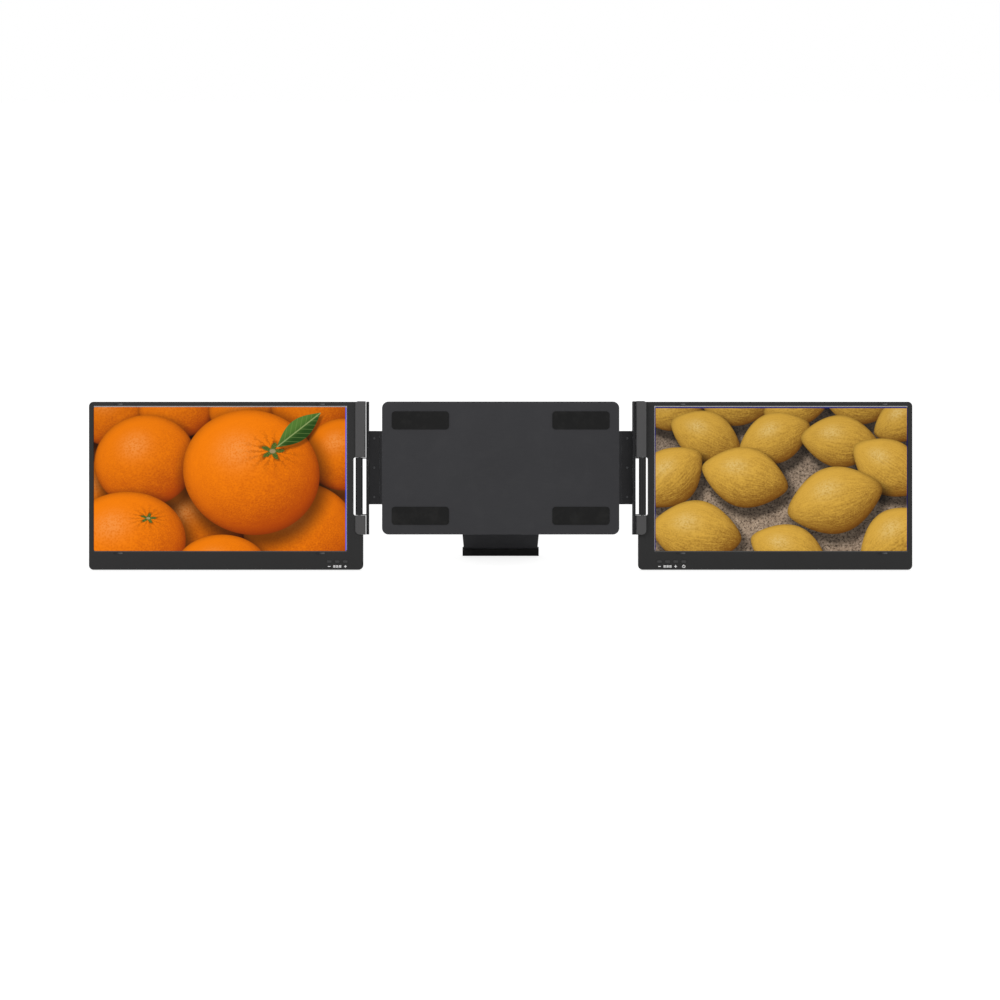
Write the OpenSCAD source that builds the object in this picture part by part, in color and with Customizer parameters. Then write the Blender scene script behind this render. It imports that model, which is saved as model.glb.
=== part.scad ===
// Laptop screen extender: two hinged monitors on telescoping arms, with a centre frame and a kickstand.
// X runs along the row of screens, +Y points behind them and +Z is up. All lengths are millimetres.
// The screens face -Y and lean back. The origin is on the resting surface, under the middle.
// Inside a leaning module, X is across, Z is up along the panels and -Y is out of the front face.
// A "depth" is measured out of the centre frame's front face, towards the viewer.

/* [Posture] */
// Angle that the panels lean back from the vertical
lean_angle = 12; // [8:0.5:14]
// Angle of the kickstand leg from the vertical
stand_angle = 12; // [8:0.5:18]

/* [Screens] */
// Radius of the housing's corners in the front view
corner_r = 5.5; // [4:0.5:9]
// Radius of the rounded back edge
back_edge_r = 2; // [1:0.25:3]
// Bevel along the front edge of the bezel
front_bevel = 0.5; // [0.2:0.1:0.8]
// Width of the visible display
display_w = 309; // [260:1:360]
// Height of the visible display
display_h = 176; // [156:1:210]
// Bezel width beside the display at the outer end
outer_border = 5.8; // [4:0.2:8]
// Bezel width beside the display at the hinge
hinge_border = 20.2; // [18:0.2:30]
// Bezel width above the display
top_border = 6.4; // [4:0.2:8]
// Bezel height below the display
chin_h = 23; // [21:0.5:32]
// Thickness of the front bezel
bezel_t = 1.8; // [1.5:0.1:2.4]
// Bevel round the display opening
opening_bevel = 0.8; // [0.4:0.1:1.2]
// Corner radius of the display opening
opening_r = 2; // [1:0.5:4]
// Overlap of the bezel on the display panel
panel_lap = 2; // [1.2:0.1:2.4]
// Side wall of the rear shell
shell_wall = 1.4; // [1.2:0.1:1.6]
// Floor of the rear shell
shell_floor = 1.2; // [1:0.1:1.6]
// Thickness of the display panel
panel_t = 1.1; // [0.8:0.1:1.4]
// Thickness of the backlight unit
backlight_t = 2.4; // [1.8:0.1:2.6]
// Thickness of the circuit boards
board_t = 1; // [0.8:0.1:1.6]
// Length of the driver board under the display
board_len = 130; // [110:1:180]
// Gap between the shell's floor and the driver board
board_standoff = 1.2; // [0.8:0.1:2]
// Room between the sockets and the bezel
socket_head_gap = 0.6; // [0.4:0.1:1]
// Thickness of the shell's ribs
rib_t = 1.2; // [0.8:0.1:2]

/* [Folding] */
// Depth of the screens' front faces when open
screen_front = 7.5; // [7:0.1:9]
// Gap under the left screen when it is folded over the centre frame
fold_gap = 2; // [1.8:0.1:3]
// Gap between the two screens when both are folded
stack_gap = 1.5; // [1.2:0.1:3]
// Clearance between a folded screen's end and the opposite hinge bar
fold_end_gap = 4.5; // [3:0.5:10]
// How far the inner edge of a screen reaches past its hinge axis
axis_inset = 4.8; // [4.4:0.1:5.4]

/* [Hinges] */
// How far the hinge stands over the screens' top edge
hinge_over = 0.6; // [0.2:0.1:1.5]
// Length of the lower hinge cover
lower_cover_len = 23.5; // [22:0.5:34]
// Length of the window that shows the barrel
window_len = 71; // [50:1:80]
// Diameter of the hinge pin
pin_d = 4; // [3:0.1:4.2]
// Running clearance round the hinge pin, on the radius
pin_clear = 0.05; // [0.02:0.01:0.08]
// Wall of the hinge knuckles
knuckle_wall = 1; // [0.8:0.1:1]
// Outer diameter of the barrel in the window
barrel_d = 8.8; // [7:0.1:9]
// Thickness of the ears that hold the pin
ear_t = 1.2; // [1:0.1:2]
// Distance from the hinge axis to the outer face of the hinge bar
bar_offset = 8.4; // [8.2:0.1:9.4]
// Thickness of the hinge bar
bar_t = 3.2; // [2:0.1:3.8]
// Corner radius of the hinge bar
bar_corner_r = 3; // [1:0.5:4]
// Clearance swept by the covers beside the hinge bar
sweep_gap = 0.4; // [0.3:0.1:0.8]
// Reach of the covers past the axis, over the bezel
cover_reach = 4.4; // [4:0.1:5]
// Height of the covers' front above the hinge axis
cover_rise = 4.25; // [4.25:0.05:5]
// Radius of the covers' top corner in the front view
cover_top_r = 3.5; // [2:0.5:5]
// Radius of the covers' bottom corner in the front view
cover_bottom_r = 5.5; // [2:0.5:6]
// End walls of the covers
cover_cap = 1.5; // [1:0.1:2.5]
// Seam between the covers and the housing
seam = 0.2; // [0.15:0.05:0.4]
// Reach of the window notch past the axis
notch_reach = 7.2; // [6.8:0.1:9]
// Bevel of the window notch's corners
notch_bevel = 1.5; // [1:0.5:3]
// Thickness of the steel hinge leaves
leaf_t = 1.2; // [1:0.1:1.4]
// Length of the upper hinge leaf
upper_leaf_len = 40; // [25:1:60]
// Length of the lower hinge leaf
lower_leaf_len = 17; // [14:0.5:18]
// Thickness of the hinge pin's heads
pin_head_t = 0.9; // [0.6:0.1:1.2]

/* [Keys and ports] */
// Width of a key cap
key_w = 5.7; // [4.5:0.1:6.5]
// Height of a key cap
key_h = 3.1; // [2.5:0.1:4]
// Distance between keys
key_pitch = 9.9; // [8.5:0.1:12]
// Height of the keys above the screens' bottom edge
key_v = 10; // [8:0.5:13]
// First key's distance from the inner edge, right screen
right_key_start = 25.8; // [24:0.1:40]
// First key's distance from the inner edge, left screen
left_key_start = 21.5; // [21:0.1:40]
// Travel of a key
key_travel = 0.35; // [0.2:0.05:0.4]
// Height of a key cap over the bezel
key_proud = 0.4; // [0.35:0.05:0.8]
// Gap round a key cap
key_gap = 0.25; // [0.15:0.05:0.4]
// Width of a USB-C socket
usb_w = 8.9; // [8.9:0.1:9.2]
// Height of a USB-C socket
usb_h = 3.2; // [3.1:0.1:3.3]
// Width of the mini HDMI socket
hdmi_w = 11.2; // [11:0.1:11.6]
// Height of the mini HDMI socket
hdmi_h = 3.2; // [3:0.1:3.4]
// Depth of the sockets
socket_len = 7.3; // [6.5:0.1:9]
// Wall of the sockets' metal shells
socket_wall = 0.3; // [0.25:0.05:0.4]
// Height of the first socket's centre
socket_v = 9; // [8:0.5:10]
// Distance between the USB-C sockets
socket_pitch = 12; // [10.5:0.1:14]
// Distance from the upper USB-C socket to the mini HDMI socket
hdmi_pitch = 13; // [12:0.1:15]
// Room above the mini HDMI socket
socket_top_gap = 1.8; // [1:0.1:4]

/* [Bumpers] */
// Length of a bumper
bumper_len = 12; // [8:0.5:18]
// Width of a bumper
bumper_w = 2; // [1.5:0.1:3]
// Height of a bumper
bumper_h = 0.5; // [0.3:0.05:0.6]
// Distance of the bumpers from the screen's ends
bumper_inset = 36; // [20:1:60]
// Extra inset of the bumpers at the hinge end
bumper_hinge_extra = 16; // [6:1:30]

/* [Centre frame] */
// Gap between the centre frame and the feet of the closed arms
frame_gap = 3.1; // [1:0.1:12]
// Corner radius of the centre frame
frame_corner_r = 8; // [4:1:14]
// Thickness of the front plate
front_plate_t = 2; // [1.6:0.1:3]
// Floor of the rear cover
rear_floor = 2; // [1.6:0.1:3]
// Walls of the rear cover
rear_wall = 2; // [1.6:0.1:3]
// Thickness of the lid pads
pad_t = 1; // [0.6:0.1:1.2]
// Width of a lid pad
pad_w = 70; // [40:1:90]
// Height of a lid pad
pad_h = 22; // [14:1:30]
// Distance of the lid pads from the frame's edges
pad_inset = 12; // [8:1:30]

/* [Arms] */
// Thickness of the arm plates
arm_t = 3; // [2.5:0.1:4]
// Height of the arm plates
arm_h = 90; // [60:1:100]
// Height of the arm plates' lower edge
arm_v = 80; // [70:1:90]
// Play between an arm and its guides
arm_play = 0.15; // [0.1:0.05:0.3]
// How far an arm pulls out
arm_travel = 35; // [20:1:36]
// Length of an arm inside the closed frame
arm_engaged = 88; // [80:1:92]
// Diameter of the guide studs
stud_d = 6; // [4:0.5:8]
// Distance of the guide studs from the frame's side
stud_inset = 14; // [10:0.5:18]
// Distance of the guide studs from the arms' edges
stud_edge = 18; // [12:0.5:24]
// Distance of the outer bar screws from the arms' edges
bar_screw_edge = 9; // [6:0.5:14]
// Width of the foot along the hinge bar
bar_foot = 13; // [10:0.5:13.5]

/* [Kickstand] */
// Height of the kickstand's axis along the panels
stand_v = 150; // [145:0.5:165]
// Diameter of the kickstand's pins
stand_pin_d = 4; // [3:0.1:5]
// Wall of the kickstand's knuckles
stand_knuckle_wall = 1.6; // [1.2:0.1:2.4]
// Length of a kickstand knuckle
stand_knuckle_len = 16; // [10:0.5:24]
// Distance from the middle to a knuckle's centre
stand_knuckle_u = 38; // [30:0.5:40]
// Thickness of the kickstand leg
leg_t = 3.5; // [2.5:0.1:5]
// Width of the leg at its hinges
leg_top_w = 112; // [100:1:130]
// Width of the leg at its foot
leg_foot_w = 92; // [70:1:110]
// Thickness of the bracket plates
bracket_t = 1.6; // [1.2:0.1:2.4]
// Height of the bracket plates
bracket_h = 16; // [14:0.5:24]
// Height of the rubber foot
foot_h = 10; // [7:0.5:14]
// Wall of the rubber foot round the leg
foot_wall = 2; // [1.5:0.1:3]

/* [Screws] */
// Shaft diameter of the small screws
screw_d = 1.8; // [1.4:0.1:2]
// Head diameter of the small screws
screw_head_d = 3.6; // [3:0.1:4]
// Head height of the small screws
screw_head_t = 0.9; // [0.6:0.1:1]
// Shaft diameter of the frame screws
frame_screw_d = 2.5; // [2:0.1:3]
// Head diameter of the frame screws
frame_head_d = 4.6; // [4:0.1:6]
// Clearance round a screw, on the radius
screw_clear = 0.03; // [0.02:0.01:0.06]

/* [Hidden] */
$fn = 64;

// Sides: the right side is modelled, and the left side is its mirror image with its own values.
LEFT = -1;
RIGHT = 1;

// Colours
screen_black = "#333335";
trim_grey = "#505050";
dark_metal = "#222224";
steel = "#9a9ca0";
rubber_black = "#1c1c1d";
board_green = "#1f5a3c";

// A cut runs this far past the face it opens
past = 1;

// One screen housing, round its display and its sockets
screen_w = hinge_border + display_w + outer_border;
screen_h = top_border + display_h + chin_h;
screen_t = shell_floor + board_standoff + board_t + usb_h + socket_head_gap + bezel_t;

// Depths in the folding stack
screen_back = screen_front - screen_t;
bezel_back = screen_front - bezel_t;
shell_inside = screen_back + shell_floor;
floor_root = screen_back + shell_floor / 2;
left_axis_depth = (screen_front + fold_gap) / 2;
folded_left_back = fold_gap + screen_t;
right_axis_depth = (screen_front + folded_left_back + stack_gap) / 2;
bar_under_fold = 0.5;

// Places across, on the right side
hinge_x = (screen_w - axis_inset + fold_end_gap + bar_offset + bar_t) / 2;
screen_x0 = hinge_x - axis_inset;
screen_x1 = screen_x0 + screen_w;
bar_outer_x = hinge_x - bar_offset;
bar_inner_x = bar_outer_x - bar_t;
display_x0 = screen_x0 + hinge_border;
display_v0 = chin_h;

// Heights along the hinge, which stands over the sockets
hdmi_v = socket_v + socket_pitch + hdmi_pitch;
hinge_bottom = hdmi_v + hdmi_w / 2 + socket_top_gap + shell_wall + seam;
hinge_top = screen_h + hinge_over;
hinge_len = hinge_top - hinge_bottom;
window_low = hinge_bottom + lower_cover_len;
window_high = window_low + window_len;
ear_gap = 0.3;
low_ear_v = window_low + ear_gap;
high_ear_v = window_high - ear_gap - ear_t;

// Hinge radii
barrel_r = barrel_d / 2;
knuckle_r = pin_d / 2 + pin_clear + knuckle_wall;
cover_r = bar_offset - sweep_gap;
cover_in = bar_offset - 1.5 * sweep_gap;
pocket_gap = 0.2;
pin_hole_gap = 0.3;
leaf_depth = left_axis_depth - knuckle_r;
pin_head_d = pin_d + 1.4;
pin_head_gap = 0.3;
lower_leaf_v = hinge_bottom + cover_cap + pin_head_t + 2 * pin_head_gap;
upper_leaf_v = window_high + cover_cap + pin_head_gap;

// The strip of the housing that carries the hinge leaves ends where the display panel begins
bay_gap = 0.4;
leaf_end_x = display_x0 - panel_lap - 2 * bay_gap;
bay_x = display_x0 - panel_lap - bay_gap;
leaf_screw_x = (hinge_x + cover_reach + seam + leaf_end_x) / 2;
leaf_screw_inset = 4.5;

// Centre frame
frame_w = 2 * (bar_inner_x - bar_foot - frame_gap);
frame_back = -(front_plate_t + arm_t + 2 * arm_play + rear_floor);
cavity_front = -front_plate_t;
cavity_back = frame_back + rear_floor;
arm_back = cavity_back + arm_play;
arm_inner_x = frame_w / 2 - arm_engaged;
stud_x = frame_w / 2 - stud_inset;
stud_vs = [arm_v + stud_edge, arm_v + arm_h - stud_edge];
stud_clear = 0.05;
slot_end_gap = 0.3;
arm_slot_end = stud_d / 2 + slot_end_gap;
arm_corner_r = 2;
bar_foot_t = front_plate_t - arm_play;
foot_front = arm_back + arm_t + bar_foot_t;
bar_screw_vs = [arm_v + bar_screw_edge, arm_v + arm_h / 2, arm_v + arm_h - bar_screw_edge];
frame_screw_inset = 9;
frame_boss_d = frame_head_d + 2;
pad_x = frame_w / 2 - pad_inset - pad_w / 2;
pad_vs = [hinge_bottom + pad_inset + pad_h / 2, hinge_top - pad_inset - pad_h / 2];
pad_corner_r = 4;

// Blind holes leave a skin, and screws end short of it
front_skin = 0.5;
floor_skin = 0.4;
tip_gap = 0.3;

// Keys and boards
key_flange_t = 0.6;
key_flange_lip = 0.8;
key_board_gap = 0.15;
switch_h = 0.6;
key_board_front = bezel_back - 2 * key_board_gap - key_flange_t - key_travel - switch_h;
key_board_h = 12;
switch_d = 2;
key_corner_r = 1;
key_post_inset = 1.5;
board_depth = shell_inside + board_standoff;
board_gap = 0.6;
board_top_v = display_v0 - panel_lap - board_gap;
driver_board_x1 = display_x0 + board_len;
board_post_d = 4;
board_posts = [
    [screen_x0 + socket_len / 2 + shell_wall, shell_wall + corner_r], [(screen_x0 + bay_x) / 2, hinge_bottom / 2],
    [display_x0 + 1.5 * board_post_d, board_top_v - board_post_d],
    [driver_board_x1 - 1.5 * board_post_d, board_top_v - board_post_d]
];
chip_size = 10;
chip_t = 1.1;
chip_x = driver_board_x1 - 4.5 * chip_size;
plug_h = 4;
board_mid_v = (shell_wall + board_top_v) / 2;
socket_face = 0.3;
socket_gap = 0.25;
tongue_t = 0.7;
usb_round = 0.05;
hdmi_corner_r = 0.5;
usb_tongue_w = usb_w - 2.5;
hdmi_tongue_w = hdmi_w - 3.4;

// Housing screws, in the chin
case_screw_v = 5.6;
case_boss_d = screw_head_d + 2 * shell_wall;
case_screw_x0 = driver_board_x1 + 8;
case_screw_x1 = screen_x1 - corner_r - 4;
case_screw_xs = [for (i = [0 : 3]) case_screw_x0 + i * (case_screw_x1 - case_screw_x0) / 3];

// Kickstand: the leg is drawn hanging straight down from its axis, then turned
stand_knuckle_r = stand_pin_d / 2 + stand_knuckle_wall;
leg_swing_gap = 0.5;
stand_depth = frame_back - bracket_t - stand_knuckle_r - leg_swing_gap;
ear_side_gap = 0.3;
stand_ear_t = 2.5;
stand_pin_clear = 0.05;
bracket_corner_r = 2;
bracket_head_t = 0.4;
leg_top = stand_knuckle_r + 2.5;
leg_shoulder = 8;
leg_rib_w = 2;
leg_rib_h = 1;
knuckle_web = 4;
stand_pin_len = stand_knuckle_len + 2 * ear_side_gap + 2 * stand_ear_t;

// The housings rest on the rounded back edge of their undersides
rest_z = back_edge_r - back_edge_r * cos(lean_angle) - (screen_back + back_edge_r) * sin(lean_angle);
stand_z = stand_v * cos(lean_angle) + stand_depth * sin(lean_angle) + rest_z;
stand_y = stand_v * sin(lean_angle) - stand_depth * cos(lean_angle);
leg_reach = stand_z / cos(stand_angle);
leg_bottom = leg_reach - foot_h / 2;
foot_half_t = leg_t / 2 + foot_wall;
front_y = -screen_front * cos(lean_angle);
back_y = stand_y + leg_reach * sin(stand_angle) + foot_half_t * cos(stand_angle);
middle_y = (front_y + back_y) / 2;

// ---- Frames and outlines ----

// Depth of a side's hinge axis, and of the front of its hinge bar
function axis_depth(side) = side == LEFT ? left_axis_depth : right_axis_depth;
function bar_front(side) = side == LEFT ? fold_gap - bar_under_fold : folded_left_back + stack_gap - bar_under_fold;
function key_start(side) = screen_x0 + (side == LEFT ? left_key_start : right_key_start);

// Stands the leaning panels on the resting surface
module leaning() {
    translate([0, -middle_y, rest_z]) rotate([-lean_angle, 0, 0]) children();
}

// Draws for the right side, and mirrors that for the left
module on_side(side) {
    leaning() {
        if (side == RIGHT) children();
        else mirror([1, 0, 0]) children();
    }
}

// Extrudes a front view (across, up) from one depth to another
module between(back, front) {
    rotate([90, 0, 0]) translate([0, 0, back]) linear_extrude(front - back) children();
}

// Extrudes a section (outward from the axis, depth from the axis) along the hinge
module along_hinge(side, v0, length) {
    translate([hinge_x, -axis_depth(side), v0]) linear_extrude(length) mirror([0, 1]) children();
}

// A rectangle between two corners
module rect(x0, y0, x1, y1) {
    translate([x0, y0]) square([x1 - x0, y1 - y0]);
}

// A rectangle with round corners
module round_rect(x0, y0, x1, y1, r) {
    rect(x0 + r, y0, x1 - r, y1);
    rect(x0, y0 + r, x1, y1 - r);
    for (x = [x0 + r, x1 - r], y = [y0 + r, y1 - r]) {
        translate([x, y]) circle(r);
    }
}

// A round bar across the front view, with its axis along the depth
module peg(x, v, back, front, d) {
    between(back, front) translate([x, v]) circle(d = d);
}

// A small screw with a flat head: the head is at the end named by head_depth
module screw(x, v, tip_depth, head_depth, head_d, head_t, d) {
    head_end = head_depth + (head_depth > tip_depth ? -head_t : head_t);
    peg(x, v, min(tip_depth, head_end), max(tip_depth, head_end), d);
    peg(x, v, min(head_depth, head_end), max(head_depth, head_end), head_d);
}

// Both covers and the window between them, grown by a gap: the corners on the housing are round
module cover_outline(x0, grow) {
    x1 = hinge_x + cover_reach + grow;
    v0 = hinge_bottom - grow;
    v1 = hinge_top + grow;
    top_r = cover_top_r + grow;
    bottom_r = cover_bottom_r + grow;
    rect(x0, v0, x1 - bottom_r, v1 - top_r);
    rect(x0, v0 + bottom_r, x1, v1 - top_r);
    rect(x0, v1 - 2 * top_r, x1 - top_r, v1);
    translate([x1 - top_r, v1 - top_r]) circle(top_r);
    translate([x1 - bottom_r, v0 + bottom_r]) circle(bottom_r);
}

// A housing in the front view
module screen_outline(inset) {
    round_rect(screen_x0 + inset, inset, screen_x1 - inset, screen_h - inset, corner_r - inset);
}

// What the hinge takes out of a housing: room for the covers and the window with its bevelled corners
module hinge_notch() {
    x0 = screen_x0 - past;
    x1 = hinge_x + notch_reach;
    cover_outline(x0, seam);
    polygon([
        [x0, window_low], [x1 - notch_bevel, window_low], [x1, window_low + notch_bevel],
        [x1, window_high - notch_bevel], [x1 - notch_bevel, window_high], [x0, window_high]
    ]);
}

// ---- Screens ----

// The outer block of a rear shell, with its rounded back edge
module shell_block() {
    corner_xs = [screen_x0 + corner_r, screen_x1 - corner_r];
    corner_vs = [corner_r, screen_h - corner_r];
    hull() {
        for (x = corner_xs, v = corner_vs) {
            translate([x, -screen_back, v]) rotate([90, 0, 0]) rotate_extrude($fn = 32) {
                shell_corner_profile();
            }
        }
    }
}

module shell_corner_profile() {
    flat_r = corner_r - back_edge_r;
    square([flat_r, bezel_back - screen_back]);
    translate([0, back_edge_r]) square([corner_r, bezel_back - screen_back - back_edge_r]);
    intersection() {
        translate([flat_r, back_edge_r]) circle(back_edge_r, $fn = 32);
        square(corner_r);
    }
}

// Where the boards and the display lie inside the shell
module shell_cavity() {
    difference() {
        screen_outline(shell_wall);
        rect(0, hinge_bottom - seam - shell_wall, bay_x, screen_h);
    }
}

// Length along the hinge of one leaf: [start, length]
leaf_spans = [[lower_leaf_v, lower_leaf_len], [upper_leaf_v, upper_leaf_len]];
function leaf_screw_vs(span) = [span[0] + leaf_screw_inset, span[0] + span[1] - leaf_screw_inset];

module socket_hole(width, height, r, v) {
    depth = board_depth + board_t + height / 2;
    translate([screen_x0 - past, -depth, v]) rotate([90, 0, 90]) linear_extrude(2 * past + shell_wall) {
        round_rect(-height / 2, -width / 2, height / 2, width / 2, r);
    }
}

module rear_shell(side) {
    rib_top = bezel_back - panel_t - backlight_t;
    rib_v = display_v0 - panel_lap;
    color(screen_black) on_side(side) {
        difference() {
            shell_block();
            between(shell_inside, screen_front) shell_cavity();
            between(screen_back - past, screen_front) hinge_notch();
            // Seats of the hinge leaves
            for (span = leaf_spans) {
                between(leaf_depth, screen_front) {
                    rect(hinge_x, span[0] - seam, bay_x + past, span[0] + span[1] + seam);
                }
                for (v = leaf_screw_vs(span)) {
                    peg(leaf_screw_x, v, shell_inside, screen_front, screw_d + 2 * screw_clear);
                }
            }
            // Sockets in the inner side
            for (i = [0, 1]) {
                socket_hole(usb_w + 2 * socket_gap, usb_h + 2 * socket_gap, usb_h / 2, socket_v + i * socket_pitch);
            }
            socket_hole(hdmi_w + 2 * socket_gap, hdmi_h + 2 * socket_gap, hdmi_corner_r + socket_gap, hdmi_v);
            // Recesses for the housing screws
            for (x = case_screw_xs) case_screw_recess(x);
        }
        // Ribs under the backlight
        intersection() {
            between(floor_root, rib_top) {
                for (i = [1 : 4]) {
                    x = bay_x + i * (screen_x1 - bay_x) / 5;
                    rect(x, rib_v, x + rib_t, screen_h - shell_wall / 2);
                }
                for (i = [0 : 3]) {
                    v = rib_v + i * (screen_h - rib_v) / 4;
                    rect(display_x0, v, screen_x1 - shell_wall / 2, v + rib_t);
                }
            }
            between(screen_back, rib_top) screen_outline(shell_wall / 2);
        }
        // Bosses of the housing screws and posts of the board
        for (x = case_screw_xs) {
            difference() {
                peg(x, case_screw_v, floor_root, board_depth + board_t, case_boss_d);
                case_screw_recess(x);
            }
        }
        for (p = board_posts) peg(p[0], p[1], floor_root, board_depth, board_post_d);
    }
}

module case_screw_recess(x) {
    peg(x, case_screw_v, screen_back - past, screen_back + 2 * screw_head_t, screw_head_d + 2 * screw_clear);
    peg(x, case_screw_v, screen_back, screen_front, screw_d + 2 * screw_clear);
}

module case_screws(side) {
    color(steel) on_side(side) {
        for (x = case_screw_xs) {
            screw(x, case_screw_v, bezel_back, screen_back + screw_head_t, screw_head_d, -screw_head_t, screw_d);
        }
    }
}

// The bezel's plate with a bevelled front edge
module bezel_block() {
    hull() {
        between(bezel_back, screen_front - front_bevel) screen_outline(0);
        between(bezel_back, screen_front) screen_outline(front_bevel);
    }
}

// The display opening, which flares towards the front
module display_opening() {
    x1 = display_x0 + display_w;
    v1 = display_v0 + display_h;
    between(bezel_back - past, screen_front) round_rect(display_x0, display_v0, x1, v1, opening_r);
    hull() {
        between(screen_front - opening_bevel, screen_front) {
            round_rect(display_x0, display_v0, x1, v1, opening_r);
        }
        between(screen_front, screen_front + past) {
            b = opening_bevel;
            round_rect(display_x0 - b, display_v0 - b, x1 + b, v1 + b, opening_r + b);
        }
    }
}

function key_count(side) = side == LEFT ? 3 : 4;

module front_bezel(side) {
    color(screen_black) on_side(side) {
        difference() {
            bezel_block();
            display_opening();
            between(bezel_back - past, screen_front + past) hinge_notch();
            for (i = [0 : key_count(side) - 1]) {
                between(bezel_back - past, screen_front + past) key_outline(side, i, key_gap);
            }
        }
        for (x = case_screw_xs) {
            difference() {
                peg(x, case_screw_v, board_depth + board_t, bezel_back, case_boss_d);
                peg(x, case_screw_v, board_depth, bezel_back + past / 2, screw_d + 2 * screw_clear);
            }
        }
    }
}

module display_panel(side) {
    color("#101114") on_side(side) {
        between(bezel_back - panel_t, bezel_back) panel_area();
    }
}

module panel_area() {
    lap = panel_lap;
    rect(display_x0 - lap, display_v0 - lap, display_x0 + display_w + lap, display_v0 + display_h + lap);
}

module backlight(side) {
    front = bezel_back - panel_t;
    color("#c8cacc") on_side(side) between(front - backlight_t, front) panel_area();
}

// The board reaches from the sockets along the chin
module driver_board(side) {
    x0 = screen_x0 + shell_wall + board_gap;
    bay_v = hinge_bottom - seam - shell_wall - board_gap;
    color(board_green) on_side(side) {
        between(board_depth, board_depth + board_t) {
            rect(x0, shell_wall + board_gap + back_edge_r, driver_board_x1, board_top_v);
            rect(x0, shell_wall + board_gap + back_edge_r, bay_x - board_gap, bay_v);
        }
        // Controller chip and connector
        between(board_depth + board_t, board_depth + board_t + chip_t) {
            rect(chip_x, board_mid_v - chip_size / 2, chip_x + chip_size, board_mid_v + chip_size / 2);
            rect(driver_board_x1 - 2 * chip_size, board_mid_v, driver_board_x1 - chip_size / 2, board_mid_v + plug_h);
        }
    }
}

module socket_body(width, height, r, v, tongue_w) {
    depth = board_depth + board_t + height / 2;
    translate([screen_x0 + socket_face, -depth, v]) rotate([90, 0, 90]) {
        difference() {
            linear_extrude(socket_len) round_rect(-height / 2, -width / 2, height / 2, width / 2, r);
            translate([0, 0, -past]) linear_extrude(socket_len) {
                w = socket_wall;
                round_rect(-height / 2 + w, -width / 2 + w, height / 2 - w, width / 2 - w, r - w / 2);
            }
        }
        linear_extrude(socket_len) square([tongue_t, tongue_w], center = true);
    }
}

module usb_c_ports(side) {
    color(steel) on_side(side) {
        for (i = [0, 1]) {
            socket_body(usb_w, usb_h, usb_h / 2 - usb_round, socket_v + i * socket_pitch, usb_tongue_w);
        }
    }
}

module mini_hdmi_port(side) {
    color(steel) on_side(side) {
        socket_body(hdmi_w, hdmi_h, hdmi_corner_r, hdmi_v, hdmi_tongue_w);
    }
}

module key_board(side) {
    x0 = key_start(side) - key_w;
    x1 = key_start(side) + (key_count(side) - 1) * key_pitch + key_w;
    color(board_green) on_side(side) {
        between(key_board_front - board_t, key_board_front) {
            rect(x0, key_v - key_board_h / 2, x1, key_v + key_board_h / 2);
        }
        for (i = [0 : key_count(side) - 1]) {
            peg(key_start(side) + i * key_pitch, key_v, key_board_front, key_board_front + switch_h, switch_d);
        }
        // Posts that hold it off the driver board
        for (x = [x0 + key_post_inset, x1 - key_post_inset]) {
            peg(x, key_v, board_depth + board_t, key_board_front - board_t, switch_d);
        }
    }
}

module key_outline(side, i, extra) {
    x = key_start(side) + i * key_pitch;
    w = key_w / 2 + extra;
    h = key_h / 2 + extra;
    round_rect(x - w, key_v - h, x + w, key_v + h, key_corner_r + extra);
}

// A key cap on the flange that keeps it behind the bezel
module button(side, i) {
    x = key_start(side) + i * key_pitch;
    flange_front = bezel_back - key_board_gap;
    color("#3a3a3c") on_side(side) {
        between(flange_front - key_flange_t, screen_front + key_proud) key_outline(side, i, 0);
        between(flange_front - key_flange_t, flange_front) key_outline(side, i, key_flange_lip);
    }
}

module bumpers(side) {
    r = bumper_w / 2;
    xs = [screen_x0 + bumper_inset + bumper_hinge_extra, screen_x1 - bumper_inset];
    vs = [screen_h - top_border / 2, display_v0 - opening_bevel - bumper_w];
    color(rubber_black) on_side(side) {
        between(screen_front, screen_front + bumper_h) {
            for (x = xs, v = vs) {
                rect(x - bumper_len / 2 + r, v - r, x + bumper_len / 2 - r, v + r);
                for (e = [-1, 1]) translate([x + e * (bumper_len / 2 - r), v]) circle(r);
            }
        }
    }
}

// ---- Screen hinges ----

// Section of a cover: a box whose front inner edge is rounded about the axis, so that it swings past the bar
module cover_section(side) {
    back = screen_back - axis_depth(side);
    intersection() {
        rect(-cover_in, 0, cover_reach, cover_rise);
        circle(cover_r);
    }
    rect(-cover_in, back + back_edge_r, cover_reach, 0);
    rect(-cover_in + back_edge_r, back, cover_reach, back + back_edge_r);
    intersection() {
        translate([-cover_in + back_edge_r, back + back_edge_r]) circle(back_edge_r);
        rect(-cover_in, back, 0, back + back_edge_r);
    }
}

// Room for the knuckle and its leaf, open towards the housing
module cover_pocket(side) {
    r = knuckle_r + pocket_gap;
    circle(r);
    rect(0, leaf_depth - axis_depth(side) - pocket_gap, cover_reach + past, r);
}

// A cover over one leaf, drawn from its round end to the window
module hinge_cover(side, v0, length, pin_hole_v) {
    color(trim_grey) on_side(side) {
        difference() {
            intersection() {
                along_hinge(side, v0, length) cover_section(side);
                between(screen_back, 2 * cover_rise + axis_depth(side)) cover_outline(bar_outer_x, 0);
            }
            along_hinge(side, v0 + cover_cap, length - 2 * cover_cap) cover_pocket(side);
            // The pin enters at the end beside the window
            translate([hinge_x, -axis_depth(side), pin_hole_v - cover_cap - past]) {
                cylinder(h = 2 * (cover_cap + past), r = pin_d / 2 + pin_hole_gap);
            }
        }
    }
}

module upper_hinge_cover(side) {
    hinge_cover(side, window_high, hinge_top - window_high, window_high);
}

module lower_hinge_cover(side) {
    hinge_cover(side, hinge_bottom, lower_cover_len, window_low);
}

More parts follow.
